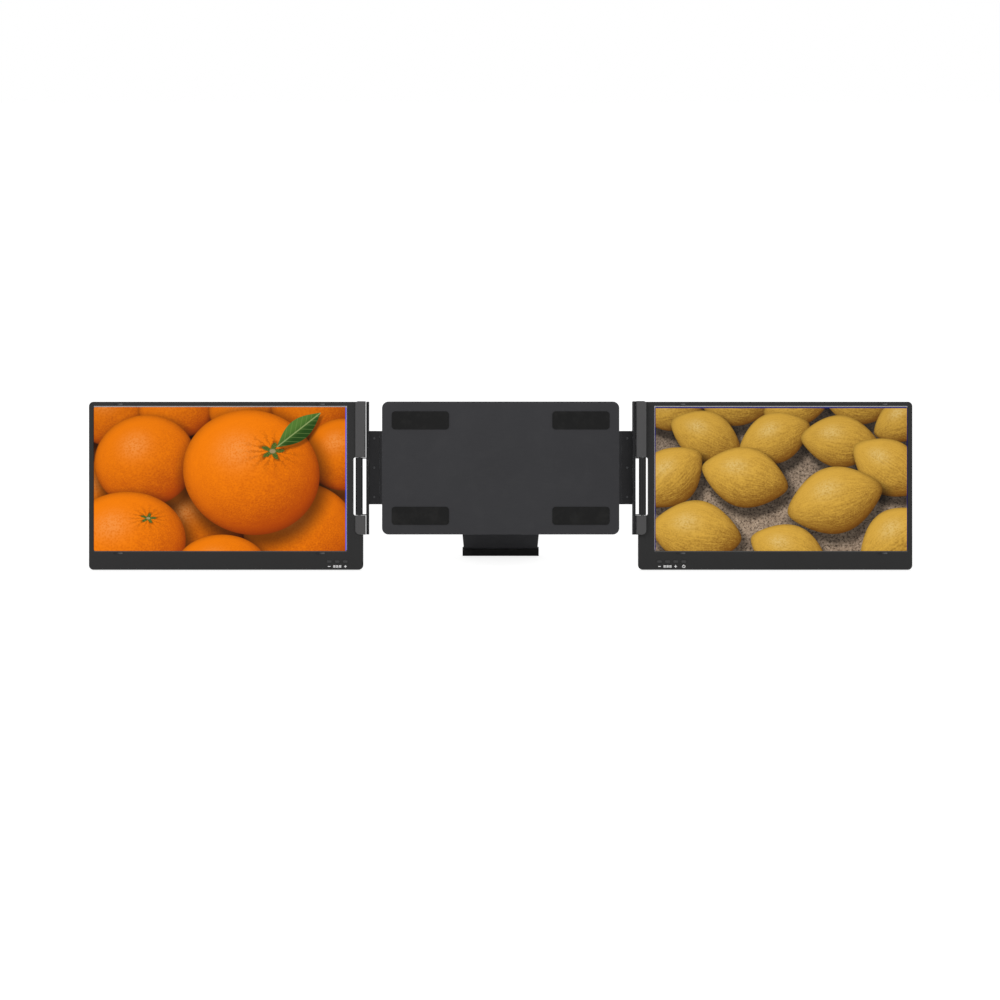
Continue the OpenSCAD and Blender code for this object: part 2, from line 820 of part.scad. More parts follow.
// Knuckle, web and leaf, bent from one strip
module leaf_section(side) {
    leaf_back = leaf_depth - axis_depth(side);
    difference() {
        union() {
            circle(knuckle_r);
            rect(knuckle_r - leaf_t, leaf_back, knuckle_r, 0);
            rect(0, leaf_back, leaf_end_x - hinge_x, leaf_back + leaf_t);
        }
        circle(pin_d / 2 + pin_clear);
    }
}

module hinge_leaves(side) {
    color(steel) on_side(side) {
        for (span = leaf_spans) {
            difference() {
                along_hinge(side, span[0], span[1]) leaf_section(side);
                for (v = leaf_screw_vs(span)) {
                    peg(leaf_screw_x, v, screen_back, screen_front, screw_d + 2 * screw_clear);
                }
            }
        }
    }
}

module leaf_screws(side) {
    color(steel) on_side(side) {
        for (span = leaf_spans, v = leaf_screw_vs(span)) {
            head = leaf_depth + leaf_t + screw_head_t;
            screw(leaf_screw_x, v, shell_inside + tip_gap, head, screw_head_d, screw_head_t, screw_d);
        }
    }
}

// An ear reaches from the bar to the pin, under the folded screen
module ear_section(side) {
    top = bar_front(side) - axis_depth(side);
    back = min(-barrel_r, top - barrel_r);
    circle(barrel_r);
    rect(-barrel_r, back, barrel_r, 0);
    rect(-bar_offset - bar_t / 2, back, 0, top);
}

module hinge_bar(side) {
    front = bar_front(side);
    r = bar_corner_r;
    color(dark_metal) on_side(side) {
        difference() {
            union() {
                // The bar, seen from the side
                translate([bar_inner_x, 0, 0]) rotate([90, 0, 90]) linear_extrude(bar_t) {
                    difference() {
                        rect(-front, hinge_bottom, -frame_back, hinge_top);
                        bar_corner_cut(-front, hinge_bottom, r, 1);
                        bar_corner_cut(-front, hinge_top, r, -1);
                    }
                }
                // Its foot lies on the arm plate
                between(arm_back + arm_t, foot_front) {
                    rect(bar_inner_x - bar_foot, arm_v, bar_inner_x + bar_t / 2, arm_v + arm_h);
                }
                for (v = [low_ear_v, high_ear_v]) along_hinge(side, v, ear_t) ear_section(side);
            }
            translate([hinge_x, -axis_depth(side), window_low]) cylinder(h = window_len, d = pin_d);
            for (v = bar_screw_vs) {
                peg(bar_inner_x - bar_foot / 2, v, frame_back, past, frame_screw_d + 2 * screw_clear);
            }
        }
    }
}

module bar_corner_cut(y, v, r, up) {
    difference() {
        translate([y - past, up > 0 ? v - past : v - r]) square(r + past);
        translate([y + r, v + up * r]) circle(r);
    }
}

module hinge_barrel(side) {
    v0 = low_ear_v + ear_t;
    length = high_ear_v - v0;
    color("#2c2c2e") on_side(side) {
        translate([hinge_x, -axis_depth(side), v0]) difference() {
            cylinder(h = length, d = barrel_d);
            translate([0, 0, -past]) cylinder(h = length + 2 * past, d = pin_d);
        }
    }
}

module hinge_pin(side) {
    v0 = lower_leaf_v - pin_head_gap;
    v1 = upper_leaf_v + upper_leaf_len + pin_head_gap;
    color(steel) on_side(side) {
        translate([hinge_x, -axis_depth(side), v0]) cylinder(h = v1 - v0, d = pin_d);
        for (v = [v0 - pin_head_t, v1]) {
            translate([hinge_x, -axis_depth(side), v]) cylinder(h = pin_head_t, d = pin_head_d);
        }
    }
}

// ---- Arms ----

module arm_plate(side) {
    slot_x0 = stud_x - arm_travel - arm_slot_end;
    slot_x1 = stud_x + arm_slot_end;
    slot_r = stud_d / 2 + stud_clear;
    color(dark_metal) on_side(side) {
        difference() {
            between(arm_back, arm_back + arm_t) {
                round_rect(arm_inner_x, arm_v, bar_inner_x - seam, arm_v + arm_h, arm_corner_r);
            }
            for (v = stud_vs) {
                between(arm_back - past, arm_back + arm_t + past) {
                    rect(slot_x0 + slot_r, v - slot_r, slot_x1 - slot_r, v + slot_r);
                    for (x = [slot_x0 + slot_r, slot_x1 - slot_r]) translate([x, v]) circle(slot_r);
                }
            }
            for (v = bar_screw_vs) {
                peg(bar_inner_x - bar_foot / 2, v, frame_back, past, frame_screw_d + 2 * screw_clear);
            }
        }
    }
}

module bar_screws(side) {
    head = arm_back - screw_head_t;
    color(steel) on_side(side) {
        for (v = bar_screw_vs) {
            x = bar_inner_x - bar_foot / 2;
            screw(x, v, foot_front - tip_gap, head, frame_head_d, screw_head_t, frame_screw_d);
        }
    }
}

// ---- Centre frame ----

module frame_outline(inset) {
    x = frame_w / 2 - inset;
    round_rect(-x, hinge_bottom + inset, x, hinge_top - inset, frame_corner_r - inset);
}

frame_screw_xs = [-frame_w / 2 + frame_screw_inset, 0, frame_w / 2 - frame_screw_inset];
frame_screw_vs = [hinge_bottom + frame_screw_inset, hinge_top - frame_screw_inset];

module front_plate() {
    color(dark_metal) leaning() {
        difference() {
            between(cavity_front, 0) frame_outline(0);
            for (x = frame_screw_xs, v = frame_screw_vs) {
                peg(x, v, cavity_front - past, -front_skin, frame_screw_d + 2 * screw_clear);
            }
        }
    }
}

module rear_cover() {
    mouth = 2 * rear_wall;
    color(screen_black) leaning() {
        difference() {
            between(frame_back, cavity_front) frame_outline(0);
            // Room inside, between the guides, the screw bosses and the walls
            between(cavity_back, 0) {
                difference() {
                    frame_outline(rear_wall);
                    for (v = [arm_v - arm_play - rear_wall, arm_v + arm_h + arm_play]) {
                        rect(-frame_w / 2, v, -arm_inner_x, v + rear_wall);
                        rect(arm_inner_x, v, frame_w / 2, v + rear_wall);
                    }
                    for (x = frame_screw_xs, v = frame_screw_vs) translate([x, v]) circle(d = frame_boss_d);
                }
                // Mouths of the arms
                rect(-frame_w / 2 - past, arm_v - arm_play, -frame_w / 2 + mouth, arm_v + arm_h + arm_play);
                rect(frame_w / 2 - mouth, arm_v - arm_play, frame_w / 2 + past, arm_v + arm_h + arm_play);
            }
            for (x = frame_screw_xs, v = frame_screw_vs) {
                peg(x, v, frame_back - past, frame_back + screw_head_t, frame_head_d + 2 * screw_clear);
                peg(x, v, frame_back, 0, frame_screw_d + 2 * screw_clear);
            }
            for (p = bracket_screw_places) {
                peg(p[0], p[1], frame_back - past, cavity_back - floor_skin, screw_d + 2 * screw_clear);
            }
        }
    }
}

module frame_screws() {
    color(steel) leaning() {
        for (x = frame_screw_xs, v = frame_screw_vs) {
            screw(x, v, -front_skin - tip_gap, frame_back, frame_head_d, screw_head_t, frame_screw_d);
        }
    }
}

module lid_pads() {
    color(rubber_black) leaning() {
        between(0, pad_t) {
            for (s = [LEFT, RIGHT], v = pad_vs) {
                x = s * pad_x;
                round_rect(x - pad_w / 2, v - pad_h / 2, x + pad_w / 2, v + pad_h / 2, pad_corner_r);
            }
        }
    }
}

module guide_studs() {
    color(steel) leaning() {
        for (s = [-1, 1], v = stud_vs) peg(s * stud_x, v, cavity_back, cavity_front, stud_d);
    }
}

// ---- Kickstand ----

// Puts the leg's axis in place and turns the leg back
module at_stand(turn) {
    translate([0, stand_y - middle_y, stand_z]) rotate([turn, 0, 0]) children();
}

// Half of the space that a bracket's ears leave for a knuckle
knuckle_half = stand_knuckle_len / 2 + ear_side_gap;
bracket_w = 2 * (knuckle_half + stand_ear_t);
bracket_screw_places = [
    for (s = [-1, 1], e = [-1, 1]) [s * stand_knuckle_u, stand_v + e * (bracket_h / 2 - screw_head_d / 2 - 1)]
];

// The leg's plate, which tapers to its foot
module leg_outline() {
    shoulder_x = leg_top_w / 2 - leg_shoulder;
    shoulder_z = -leg_top - leg_shoulder;
    polygon([
        [-leg_top_w / 2, shoulder_z], [-shoulder_x, -leg_top], [shoulder_x, -leg_top],
        [leg_top_w / 2, shoulder_z], [leg_foot_w / 2, -leg_bottom], [-leg_foot_w / 2, -leg_bottom]
    ]);
}

module leg_plate() {
    rotate([90, 0, 0]) translate([0, 0, -leg_t / 2]) linear_extrude(leg_t) leg_outline();
}

module kickstand_leg() {
    web_h = leg_top + knuckle_web;
    rib_len = leg_bottom - leg_top - foot_h - 2 * leg_shoulder;
    color(dark_metal) at_stand(stand_angle) {
        difference() {
            union() {
                leg_plate();
                for (s = [-1, 1]) {
                    translate([s * stand_knuckle_u - stand_knuckle_len / 2, 0, 0]) {
                        rotate([0, 90, 0]) cylinder(h = stand_knuckle_len, r = stand_knuckle_r);
                        translate([0, -leg_t / 2, -web_h]) cube([stand_knuckle_len, leg_t, web_h]);
                    }
                }
                // Stiffening ribs along the back
                for (x = [-stand_knuckle_u, stand_knuckle_u - leg_rib_w]) {
                    translate([x, 0, foot_h - leg_bottom]) cube([leg_rib_w, leg_t / 2 + leg_rib_h, rib_len]);
                }
            }
            for (s = [-1, 1]) {
                translate([s * stand_knuckle_u - stand_knuckle_len, 0, 0]) rotate([0, 90, 0]) {
                    cylinder(h = 2 * stand_knuckle_len, r = stand_pin_d / 2 + stand_pin_clear);
                }
            }
        }
    }
}

// The rubber foot wraps the leg's end, and its underside lies flat on the resting surface
module kickstand_foot() {
    half = foot_half_t;
    slope = tan(stand_angle);
    length = leg_foot_w + 2 * foot_wall;
    color(rubber_black) at_stand(stand_angle) {
        difference() {
            translate([-length / 2, 0, 0]) rotate([90, 0, 90]) linear_extrude(length) {
                polygon([
                    [-half, foot_h - leg_reach], [half, foot_h - leg_reach],
                    [half, -leg_reach - half * slope], [-half, -leg_reach + half * slope]
                ]);
            }
            leg_plate();
        }
    }
}

module kickstand_pins() {
    color(steel) at_stand(0) {
        for (s = [-1, 1]) {
            translate([s * stand_knuckle_u - stand_pin_len / 2, 0, 0]) rotate([0, 90, 0]) {
                cylinder(h = stand_pin_len, d = stand_pin_d);
            }
        }
    }
}

module kickstand_brackets() {
    r = stand_knuckle_r;
    base = -frame_back + bracket_t;
    color(dark_metal) leaning() {
        difference() {
            for (s = [-1, 1]) {
                x = s * stand_knuckle_u;
                between(frame_back - bracket_t, frame_back) {
                    half_h = bracket_h / 2;
                    half_w = bracket_w / 2;
                    round_rect(x - half_w, stand_v - half_h, x + half_w, stand_v + half_h, bracket_corner_r);
                }
                for (e = [-1, 1]) {
                    ear_x = x + e * (knuckle_half + stand_ear_t / 2) - stand_ear_t / 2;
                    translate([ear_x, 0, stand_v]) rotate([90, 0, 90]) linear_extrude(stand_ear_t) {
                        translate([-stand_depth, 0]) circle(r);
                        rect(base - bracket_t / 2, -r, -stand_depth, r);
                    }
                }
            }
            translate([-stand_knuckle_u - bracket_w, -stand_depth, stand_v]) rotate([0, 90, 0]) {
                cylinder(h = 2 * (stand_knuckle_u + bracket_w), d = stand_pin_d);
            }
            for (p = bracket_screw_places) {
                peg(p[0], p[1], frame_back - 2 * bracket_t, 0, screw_d + 2 * screw_clear);
            }
        }
    }
}

module bracket_screws() {
    head = frame_back - bracket_t - bracket_head_t;
    color(steel) leaning() {
        for (p = bracket_screw_places) {
            screw(p[0], p[1], cavity_back - floor_skin - tip_gap, head, screw_head_d, bracket_head_t, screw_d);
        }
    }
}

front_plate();
rear_cover();
lid_pads();
guide_studs();
frame_screws();
arm_plate(LEFT);  // left_arm_plate
hinge_bar(LEFT);  // left_hinge_bar
hinge_barrel(LEFT);  // left_hinge_barrel
hinge_pin(LEFT);  // left_hinge_pin
bar_screws(LEFT);  // left_bar_screws
arm_plate(RIGHT);  // right_arm_plate
hinge_bar(RIGHT);  // right_hinge_bar
hinge_barrel(RIGHT);  // right_hinge_barrel
hinge_pin(RIGHT);  // right_hinge_pin
bar_screws(RIGHT);  // right_bar_screws
rear_shell(LEFT);  // left_rear_shell
front_bezel(LEFT);  // left_front_bezel
display_panel(LEFT);  // left_display_panel
backlight(LEFT);  // left_backlight
driver_board(LEFT);  // left_driver_board
usb_c_ports(LEFT);  // left_usb_c_ports
mini_hdmi_port(LEFT);  // left_mini_hdmi_port
key_board(LEFT);  // left_key_board
bumpers(LEFT);  // left_bumpers
hinge_leaves(LEFT);  // left_hinge_leaves
leaf_screws(LEFT);  // left_leaf_screws
upper_hinge_cover(LEFT);  // left_upper_hinge_cover
lower_hinge_cover(LEFT);  // left_lower_hinge_cover
case_screws(LEFT);  // left_case_screws
button(LEFT, 2);  // left_minus_button
button(LEFT, 1);  // left_menu_button
button(LEFT, 0);  // left_plus_button
rear_shell(RIGHT);  // right_rear_shell
front_bezel(RIGHT);  // right_front_bezel
display_panel(RIGHT);  // right_display_panel
backlight(RIGHT);  // right_backlight
driver_board(RIGHT);  // right_driver_board
usb_c_ports(RIGHT);  // right_usb_c_ports
mini_hdmi_port(RIGHT);  // right_mini_hdmi_port
key_board(RIGHT);  // right_key_board
bumpers(RIGHT);  // right_bumpers
hinge_leaves(RIGHT);  // right_hinge_leaves
leaf_screws(RIGHT);  // right_leaf_screws
upper_hinge_cover(RIGHT);  // right_upper_hinge_cover
lower_hinge_cover(RIGHT);  // right_lower_hinge_cover
case_screws(RIGHT);  // right_case_screws
button(RIGHT, 0);  // right_minus_button
button(RIGHT, 1);  // right_menu_button
button(RIGHT, 2);  // right_plus_button
button(RIGHT, 3);  // right_power_button
kickstand_leg();
kickstand_foot();
kickstand_pins();
kickstand_brackets();
bracket_screws();
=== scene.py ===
import math
import bmesh
import bpy
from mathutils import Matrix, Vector


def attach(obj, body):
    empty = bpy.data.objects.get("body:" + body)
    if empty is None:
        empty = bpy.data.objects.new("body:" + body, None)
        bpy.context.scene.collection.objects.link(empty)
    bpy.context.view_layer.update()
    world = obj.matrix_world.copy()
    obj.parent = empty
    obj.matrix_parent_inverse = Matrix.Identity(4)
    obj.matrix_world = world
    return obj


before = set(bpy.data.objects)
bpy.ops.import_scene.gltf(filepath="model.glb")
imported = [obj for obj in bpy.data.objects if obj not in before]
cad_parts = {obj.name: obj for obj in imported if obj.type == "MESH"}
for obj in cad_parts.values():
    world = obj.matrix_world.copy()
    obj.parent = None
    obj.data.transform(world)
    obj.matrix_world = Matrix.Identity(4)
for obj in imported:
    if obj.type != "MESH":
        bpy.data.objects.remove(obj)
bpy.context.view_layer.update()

# ---- Studio: a white sweep under soft light ----
# The part stands on a plain white table in a white room. Two broad soft boxes in front and one
# above light it at a plain level, and the camera faces the leaning panels squarely.
lean = math.radians(12)
panel_out = Vector((0, -math.cos(lean), math.sin(lean)))
view_middle = Vector((-0.00079, -0.02502, 0.08494))
view_distance = 2.45
lamp_aim = Vector((0, 0, 0.1))
table_half = 40
table_glow, table_lift = 0.62, 0.21
room_light, room_seen = 0.68, 1.0

camera_data = bpy.data.cameras.new("camera")
camera_data.lens = 72.15
camera_data.sensor_width = 36
camera = bpy.data.objects.new("camera", camera_data)
camera.location = view_middle + view_distance * panel_out
camera.rotation_euler = (math.radians(90) - lean, 0, 0)
bpy.context.collection.objects.link(camera)
bpy.context.scene.camera = camera
bpy.context.scene.view_settings.view_transform = "Standard"

for name, place, size, watts in (
        ("soft_box_left", (-1.9, -2.3, 1.9), (1.6, 1.6), 26),
        ("soft_box_right", (2.2, -1.9, 1.4), (1.4, 1.4), 13),
        ("soft_box_top", (0, 0.9, 2.2), (2.4, 1.0), 10)):
    soft_box = bpy.data.lights.new(name, "AREA")
    soft_box.shape = "RECTANGLE"
    soft_box.size, soft_box.size_y = size
    soft_box.energy = watts
    lamp = bpy.data.objects.new(name, soft_box)
    lamp.location = place
    lamp.rotation_euler = (lamp_aim - Vector(place)).to_track_quat("-Z", "Y").to_euler()
    lamp.visible_camera = False
    bpy.context.collection.objects.link(lamp)


def feed(node, feeds):
    """Gives a node's sockets their values, or links them to what feeds them."""
    for key, value in feeds.items():
        if isinstance(value, bpy.types.NodeSocket):
            node.id_data.links.new(value, node.inputs[key])
        else:
            node.inputs[key].default_value = value


def put(tree, kind, feeds=None, **settings):
    """Adds a node with its settings, and feeds its sockets."""
    made = tree.nodes.new(kind)
    for key, value in settings.items():
        setattr(made, key, value)
    feed(made, feeds or {})
    return made


def calc(tree, operation, *values):
    """A Math node's result."""
    return put(tree, "ShaderNodeMath", dict(enumerate(values)), operation=operation).outputs[0]


room = bpy.data.worlds.new("white_room")
room.use_nodes = True
tree = room.node_tree
tree.nodes.clear()
rays = put(tree, "ShaderNodeLightPath").outputs
mirrored = calc(tree, "MAXIMUM", rays["Is Glossy Ray"], rays["Is Transmission Ray"])
seen = calc(tree, "MAXIMUM", rays["Is Camera Ray"], mirrored)
level = put(tree, "ShaderNodeMapRange", {"Value": seen, "To Min": room_light, "To Max": room_seen}).outputs[0]
sky = put(tree, "ShaderNodeBackground", {"Color": (1, 1, 1, 1), "Strength": level}).outputs[0]
put(tree, "ShaderNodeOutputWorld", {"Surface": sky})
bpy.context.scene.world = room

table_mesh = bpy.data.meshes.new("table")
corners = [(x * table_half, y * table_half, 0) for x, y in ((-1, -1), (1, -1), (1, 1), (-1, 1))]
table_mesh.from_pydata(corners, [], [(0, 1, 2, 3)])
table = bpy.data.objects.new("table", table_mesh)
bpy.context.collection.objects.link(table)
white = bpy.data.materials.new("white_table")
white.use_nodes = True
tree = white.node_tree
tree.nodes.clear()
camera_ray = put(tree, "ShaderNodeLightPath").outputs["Is Camera Ray"]
matt = put(tree, "ShaderNodeBsdfDiffuse", {"Color": (0.82, 0.82, 0.82, 1)}).outputs[0]
glow = put(tree, "ShaderNodeEmission", {"Color": (1, 1, 1, 1), "Strength": 1.0}).outputs[0]
share = calc(tree, "MULTIPLY", camera_ray, table_glow)
both = put(tree, "ShaderNodeMixShader", {0: share, 1: matt, 2: glow}).outputs[0]
lift = calc(tree, "MULTIPLY", camera_ray, table_lift)
lift = put(tree, "ShaderNodeEmission", {"Color": (1, 1, 1, 1), "Strength": lift}).outputs[0]
total = put(tree, "ShaderNodeAddShader", {0: both, 1: lift}).outputs[0]
put(tree, "ShaderNodeOutputMaterial", {"Surface": total})
table_mesh.materials.append(white)

# ---- Shared effects: place on the panels, grain, worn edges, dust ----
# Moulded plastic has a fine spark-eroded grain, its edges are rubbed a little lighter by hands,
# and dust lies thinly on it. Each effect is one group, with its own values in every finish.
panel_y, panel_z = -35.417, -0.06  # where the panels' own origin stands, in mm


def vector_calc(tree, operation, *values, out=0):
    """A Vector Math node's result, which is its number with out=1."""
    return put(tree, "ShaderNodeVectorMath", dict(enumerate(values)), operation=operation).outputs[out]


def scaled(tree, vector, factor):
    """A vector or a colour times a number."""
    return put(tree, "ShaderNodeVectorMath", {0: vector, "Scale": factor}, operation="SCALE").outputs[0]


def fade(tree, value, low, high, to_low=0.0, to_high=1.0):
    """A value remapped softly from low..high, and held beyond them."""
    feeds = {"Value": value, "From Min": low, "From Max": high, "To Min": to_low, "To Max": to_high}
    return put(tree, "ShaderNodeMapRange", feeds, interpolation_type="SMOOTHSTEP").outputs[0]


def swing(tree, value, amount, middle):
    """A noise value made to swing round a middle."""
    return calc(tree, "MULTIPLY_ADD", calc(tree, "SUBTRACT", value, 0.5), amount, middle)


def mix(tree, share, first, second):
    """Two colours mixed."""
    return put(tree, "ShaderNodeMix", {0: share, 6: first, 7: second}, data_type="RGBA").outputs[2]


def own_place(tree):
    """The piece's own coordinates, in metres."""
    return put(tree, "ShaderNodeTexCoord").outputs["Object"]


def noise(tree, place, scale, detail=2.0, rough=0.5):
    """A Noise Texture's value."""
    feeds = {"Vector": place, "Scale": scale, "Detail": detail, "Roughness": rough}
    return put(tree, "ShaderNodeTexNoise", feeds).outputs[0]


def effect(name, inputs, outputs):
    """A new shader node group with named sockets: its tree, its inputs and its output node."""
    tree = bpy.data.node_groups.new(name, "ShaderNodeTree")
    kinds = {"value": "NodeSocketFloat", "colour": "NodeSocketColor", "vector": "NodeSocketVector"}
    for label, (kind, default) in inputs.items():
        socket = tree.interface.new_socket(name=label, in_out="INPUT", socket_type=kinds[kind])
        socket.default_value = default
    for label, kind in outputs.items():
        tree.interface.new_socket(name=label, in_out="OUTPUT", socket_type=kinds[kind])
    return tree, put(tree, "NodeGroupInput").outputs, put(tree, "NodeGroupOutput")


# Where a point lies on the leaning panels, in mm: across, out of the front, and up
on_panel, given, result = effect(
    "on_panel", {}, {"Across": "value", "Out": "value", "Up": "value", "Place": "vector"})
flat = put(on_panel, "ShaderNodeMapping", {
    "Vector": own_place(on_panel), "Location": (0, panel_y / 1000, panel_z / 1000),
    "Rotation": (-lean, 0, 0)}, vector_type="TEXTURE").outputs[0]
flat = scaled(on_panel, flat, 1000)
axes = put(on_panel, "ShaderNodeSeparateXYZ", {0: flat}).outputs
feed(result, {"Across": axes[0], "Out": calc(on_panel, "MULTIPLY", axes[1], -1.0), "Up": axes[2], "Place": flat})

# Fine moulded grain with a slow drift in tone
grain, given, result = effect(
    "moulded_grain",
    {"Colour": ("colour", (0.03, 0.03, 0.03, 1)), "Grain": ("value", 1.0), "Drift": ("value", 0.1),
     "Rough": ("value", 0.5)},
    {"Colour": "colour", "Roughness": "value", "Height": "value"})
fine = noise(grain, own_place(grain), 1600.0, 2.0, 0.6)
slow = noise(grain, own_place(grain), 14.0, 3.0)
tone = swing(grain, slow, given["Drift"], 1.0)
tone = swing(grain, fine, calc(grain, "MULTIPLY", given["Grain"], 0.22), tone)
feed(result, {"Colour": scaled(grain, given["Colour"], tone),
              "Roughness": swing(grain, slow, 0.16, given["Rough"]),
              "Height": calc(grain, "MULTIPLY", fine, given["Grain"])})

# Edges: a rounding of the shaded edge, and a broken mask of where hands rub it
edges, given, result = effect(
    "worn_edges", {"Radius": ("value", 0.0004), "Break": ("value", 0.5)}, {"Mask": "value", "Normal": "vector"})
soft = put(edges, "ShaderNodeBevel", {"Radius": given["Radius"]}, samples=6).outputs[0]
true_face = put(edges, "ShaderNodeNewGeometry").outputs["True Normal"]
bend = calc(edges, "SUBTRACT", 1.0, vector_calc(edges, "DOT_PRODUCT", soft, true_face, out=1))
patchy = fade(edges, noise(edges, own_place(edges), 90.0, 4.0), 0.42, 0.58)
kept = calc(edges, "SUBTRACT", 1.0, calc(edges, "MULTIPLY", given["Break"], patchy))
feed(result, {"Mask": calc(edges, "MULTIPLY", fade(edges, bend, 0.01, 0.12), kept), "Normal": soft})

# Dust: a thin pale film that gathers on faces that look up
dust, given, result = effect(
    "dust", {"Colour": ("colour", (0, 0, 0, 1)), "Amount": ("value", 0.1)}, {"Colour": "colour"})
facing = put(dust, "ShaderNodeNewGeometry").outputs["Normal"]
facing = put(dust, "ShaderNodeSeparateXYZ", {0: facing}).outputs[2]
cloud = noise(dust, own_place(dust), 55.0, 6.0, 0.65)
film = calc(dust, "MULTIPLY", fade(dust, facing, 0.3, 1.0, 0.15, 1.0), fade(dust, cloud, 0.45, 0.7))
film = calc(dust, "MULTIPLY", film, given["Amount"])
feed(result, {"Colour": mix(dust, film, given["Colour"], (0.32, 0.31, 0.29, 1))})

# ---- Centre frame ----
# Two anodised aluminium plates with a plastic rear cover between the arms' guides.
# Four rubber pads carry the laptop's lid, and six screws hold the plates together.


def use(tree, group, feeds=None):
    """A placed group's outputs."""
    return put(tree, "ShaderNodeGroup", feeds, node_tree=group).outputs


def bumped(tree, height, normal, strength, distance):
    """A Bump node's normal."""
    feeds = {"Height": height, "Normal": normal, "Strength": strength, "Distance": distance}
    return put(tree, "ShaderNodeBump", feeds).outputs[0]


def new_finish(name, metallic=0.0, specular=0.2):
    """A new material: itself, its tree and its Principled shader."""
    made = bpy.data.materials.new(name)
    made.use_nodes = True
    made.node_tree.nodes.clear()
    shader = put(made.node_tree, "ShaderNodeBsdfPrincipled", {"Metallic": metallic, "Specular IOR Level": specular})
    put(made.node_tree, "ShaderNodeOutputMaterial", {"Surface": shader.outputs[0]})
    return made, made.node_tree, shader


def moulded(name, colour, rough, grain_size, rub, dust_amount, edge_radius=0.0004):
    """Moulded plastic or rubber with grain, rubbed edges and dust: material, tree, shader and colour."""
    made, tree, shader = new_finish(name)
    base = use(tree, grain, {"Colour": (*colour, 1), "Grain": grain_size, "Drift": 0.18, "Rough": rough})
    worn = use(tree, edges, {"Radius": edge_radius, "Break": 0.6})
    bright = (*[min(1, channel * 2.4) for channel in colour], 1)
    rubbed = mix(tree, calc(tree, "MULTIPLY", worn["Mask"], rub), base["Colour"], bright)
    dusty = use(tree, dust, {"Colour": rubbed, "Amount": dust_amount})["Colour"]
    feed(shader, {"Base Color": dusty, "Roughness": base["Roughness"],
                  "Normal": bumped(tree, base["Height"], worn["Normal"], 0.25, 0.00004)})
    return made, tree, shader, dusty


def dress(material, *names):
    """Gives CAD nodes their material."""
    for name in names:
        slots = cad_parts[name].data.materials
        slots.clear()
        slots.append(material)


def anodised(name, colour, brush_scale):
    """Dark anodised aluminium: blasted, faintly brushed, with edges that shine where the colour has worn."""
    made, tree, shader = new_finish(name, metallic=0.55, specular=0.4)
    place = use(tree, on_panel)["Place"]
    long = put(tree, "ShaderNodeMapping", {"Vector": place, "Scale": (0.02, 1.0, brush_scale)}).outputs[0]
    brush = noise(tree, long, 3.0, 4.0)
    blast = noise(tree, place, 2.4)
    worn = use(tree, edges, {"Radius": 0.0003, "Break": 0.85})
    tone = swing(tree, brush, 0.35, swing(tree, noise(tree, place, 0.012), 0.3, 1.0))
    shade = scaled(tree, colour, tone)
    bare = mix(tree, calc(tree, "MULTIPLY", worn["Mask"], 0.35), shade, (0.42, 0.42, 0.44, 1))
    height = calc(tree, "ADD", calc(tree, "MULTIPLY", brush, 0.5), blast)
    feed(shader, {"Base Color": use(tree, dust, {"Colour": bare, "Amount": 0.05})["Colour"],
                  "Roughness": calc(tree, "MULTIPLY_ADD", blast, 0.2, 0.38),
                  "Normal": bumped(tree, height, worn["Normal"], 0.2, 0.00003)})
    return made


def tooled_steel(name, colour, rough, along):
    """Turned or stamped steel with fine tool lines along one axis and a little staining."""
    made, tree, shader = new_finish(name, metallic=1.0)
    place = use(tree, on_panel)["Place"]
    lines = put(tree, "ShaderNodeMapping", {"Vector": place, "Scale": along}).outputs[0]
    cut = noise(tree, lines, 2.0, 3.0)
    stain = fade(tree, noise(tree, place, 0.35, 5.0), 0.4, 0.7)
    worn = use(tree, edges, {"Radius": 0.0002, "Break": 0.5})
    shade = mix(tree, stain, (*colour, 1), (*[channel * 0.72 for channel in colour], 1))
    shade = mix(tree, calc(tree, "MULTIPLY", worn["Mask"], 0.5), shade, (0.75, 0.75, 0.76, 1))
    feed(shader, {"Base Color": shade, "Roughness": calc(tree, "MULTIPLY_ADD", cut, 0.22, rough),
                  "Normal": bumped(tree, cut, worn["Normal"], 0.2, 0.00002)})
    return made


plate_metal = anodised("anodised_plate", (0.030, 0.030, 0.033), 1.4)
rear_plastic = moulded("rear_cover_plastic", (0.024, 0.024, 0.026), 0.52, 1.6, 0.25, 0.08)[0]
rubber = moulded("black_rubber", (0.007, 0.007, 0.007), 0.78, 1.2, 0.20, 0.12, 0.0003)[0]
screw_steel = tooled_steel("screw_steel", (0.46, 0.46, 0.47), 0.24, (1.2, 1.2, 1.2))
dress(plate_metal, "front_plate")
dress(rear_plastic, "rear_cover")
dress(rubber, "lid_pads")
dress(screw_steel, "frame_screws", "guide_studs")


def leaning(u, v, w):
    """A point given across, up the panels and out of the frame's front, in mm, as a place in metres."""
    y = v * math.sin(lean) - w * math.cos(lean) + panel_y
    return Vector((u, y, v * math.cos(lean) + w * math.sin(lean) + panel_z)) / 1000


# Cross recesses are punched in the screws' heads. One tree draws a dark cross of painted shade on each head.
recess_painted_shade, tree, shader = new_finish("recess_painted_shade")
recess_mottle = noise(tree, own_place(tree), 2500.0)
# Painted shade: the cross is coloured near black to stand for the shade inside the hollow recess
feed(shader, {"Base Color": mix(tree, recess_mottle, (0.012, 0.012, 0.012, 1), (0.035, 0.034, 0.033, 1)),
              "Roughness": calc(tree, "MULTIPLY_ADD", recess_mottle, 0.3, 0.4)})

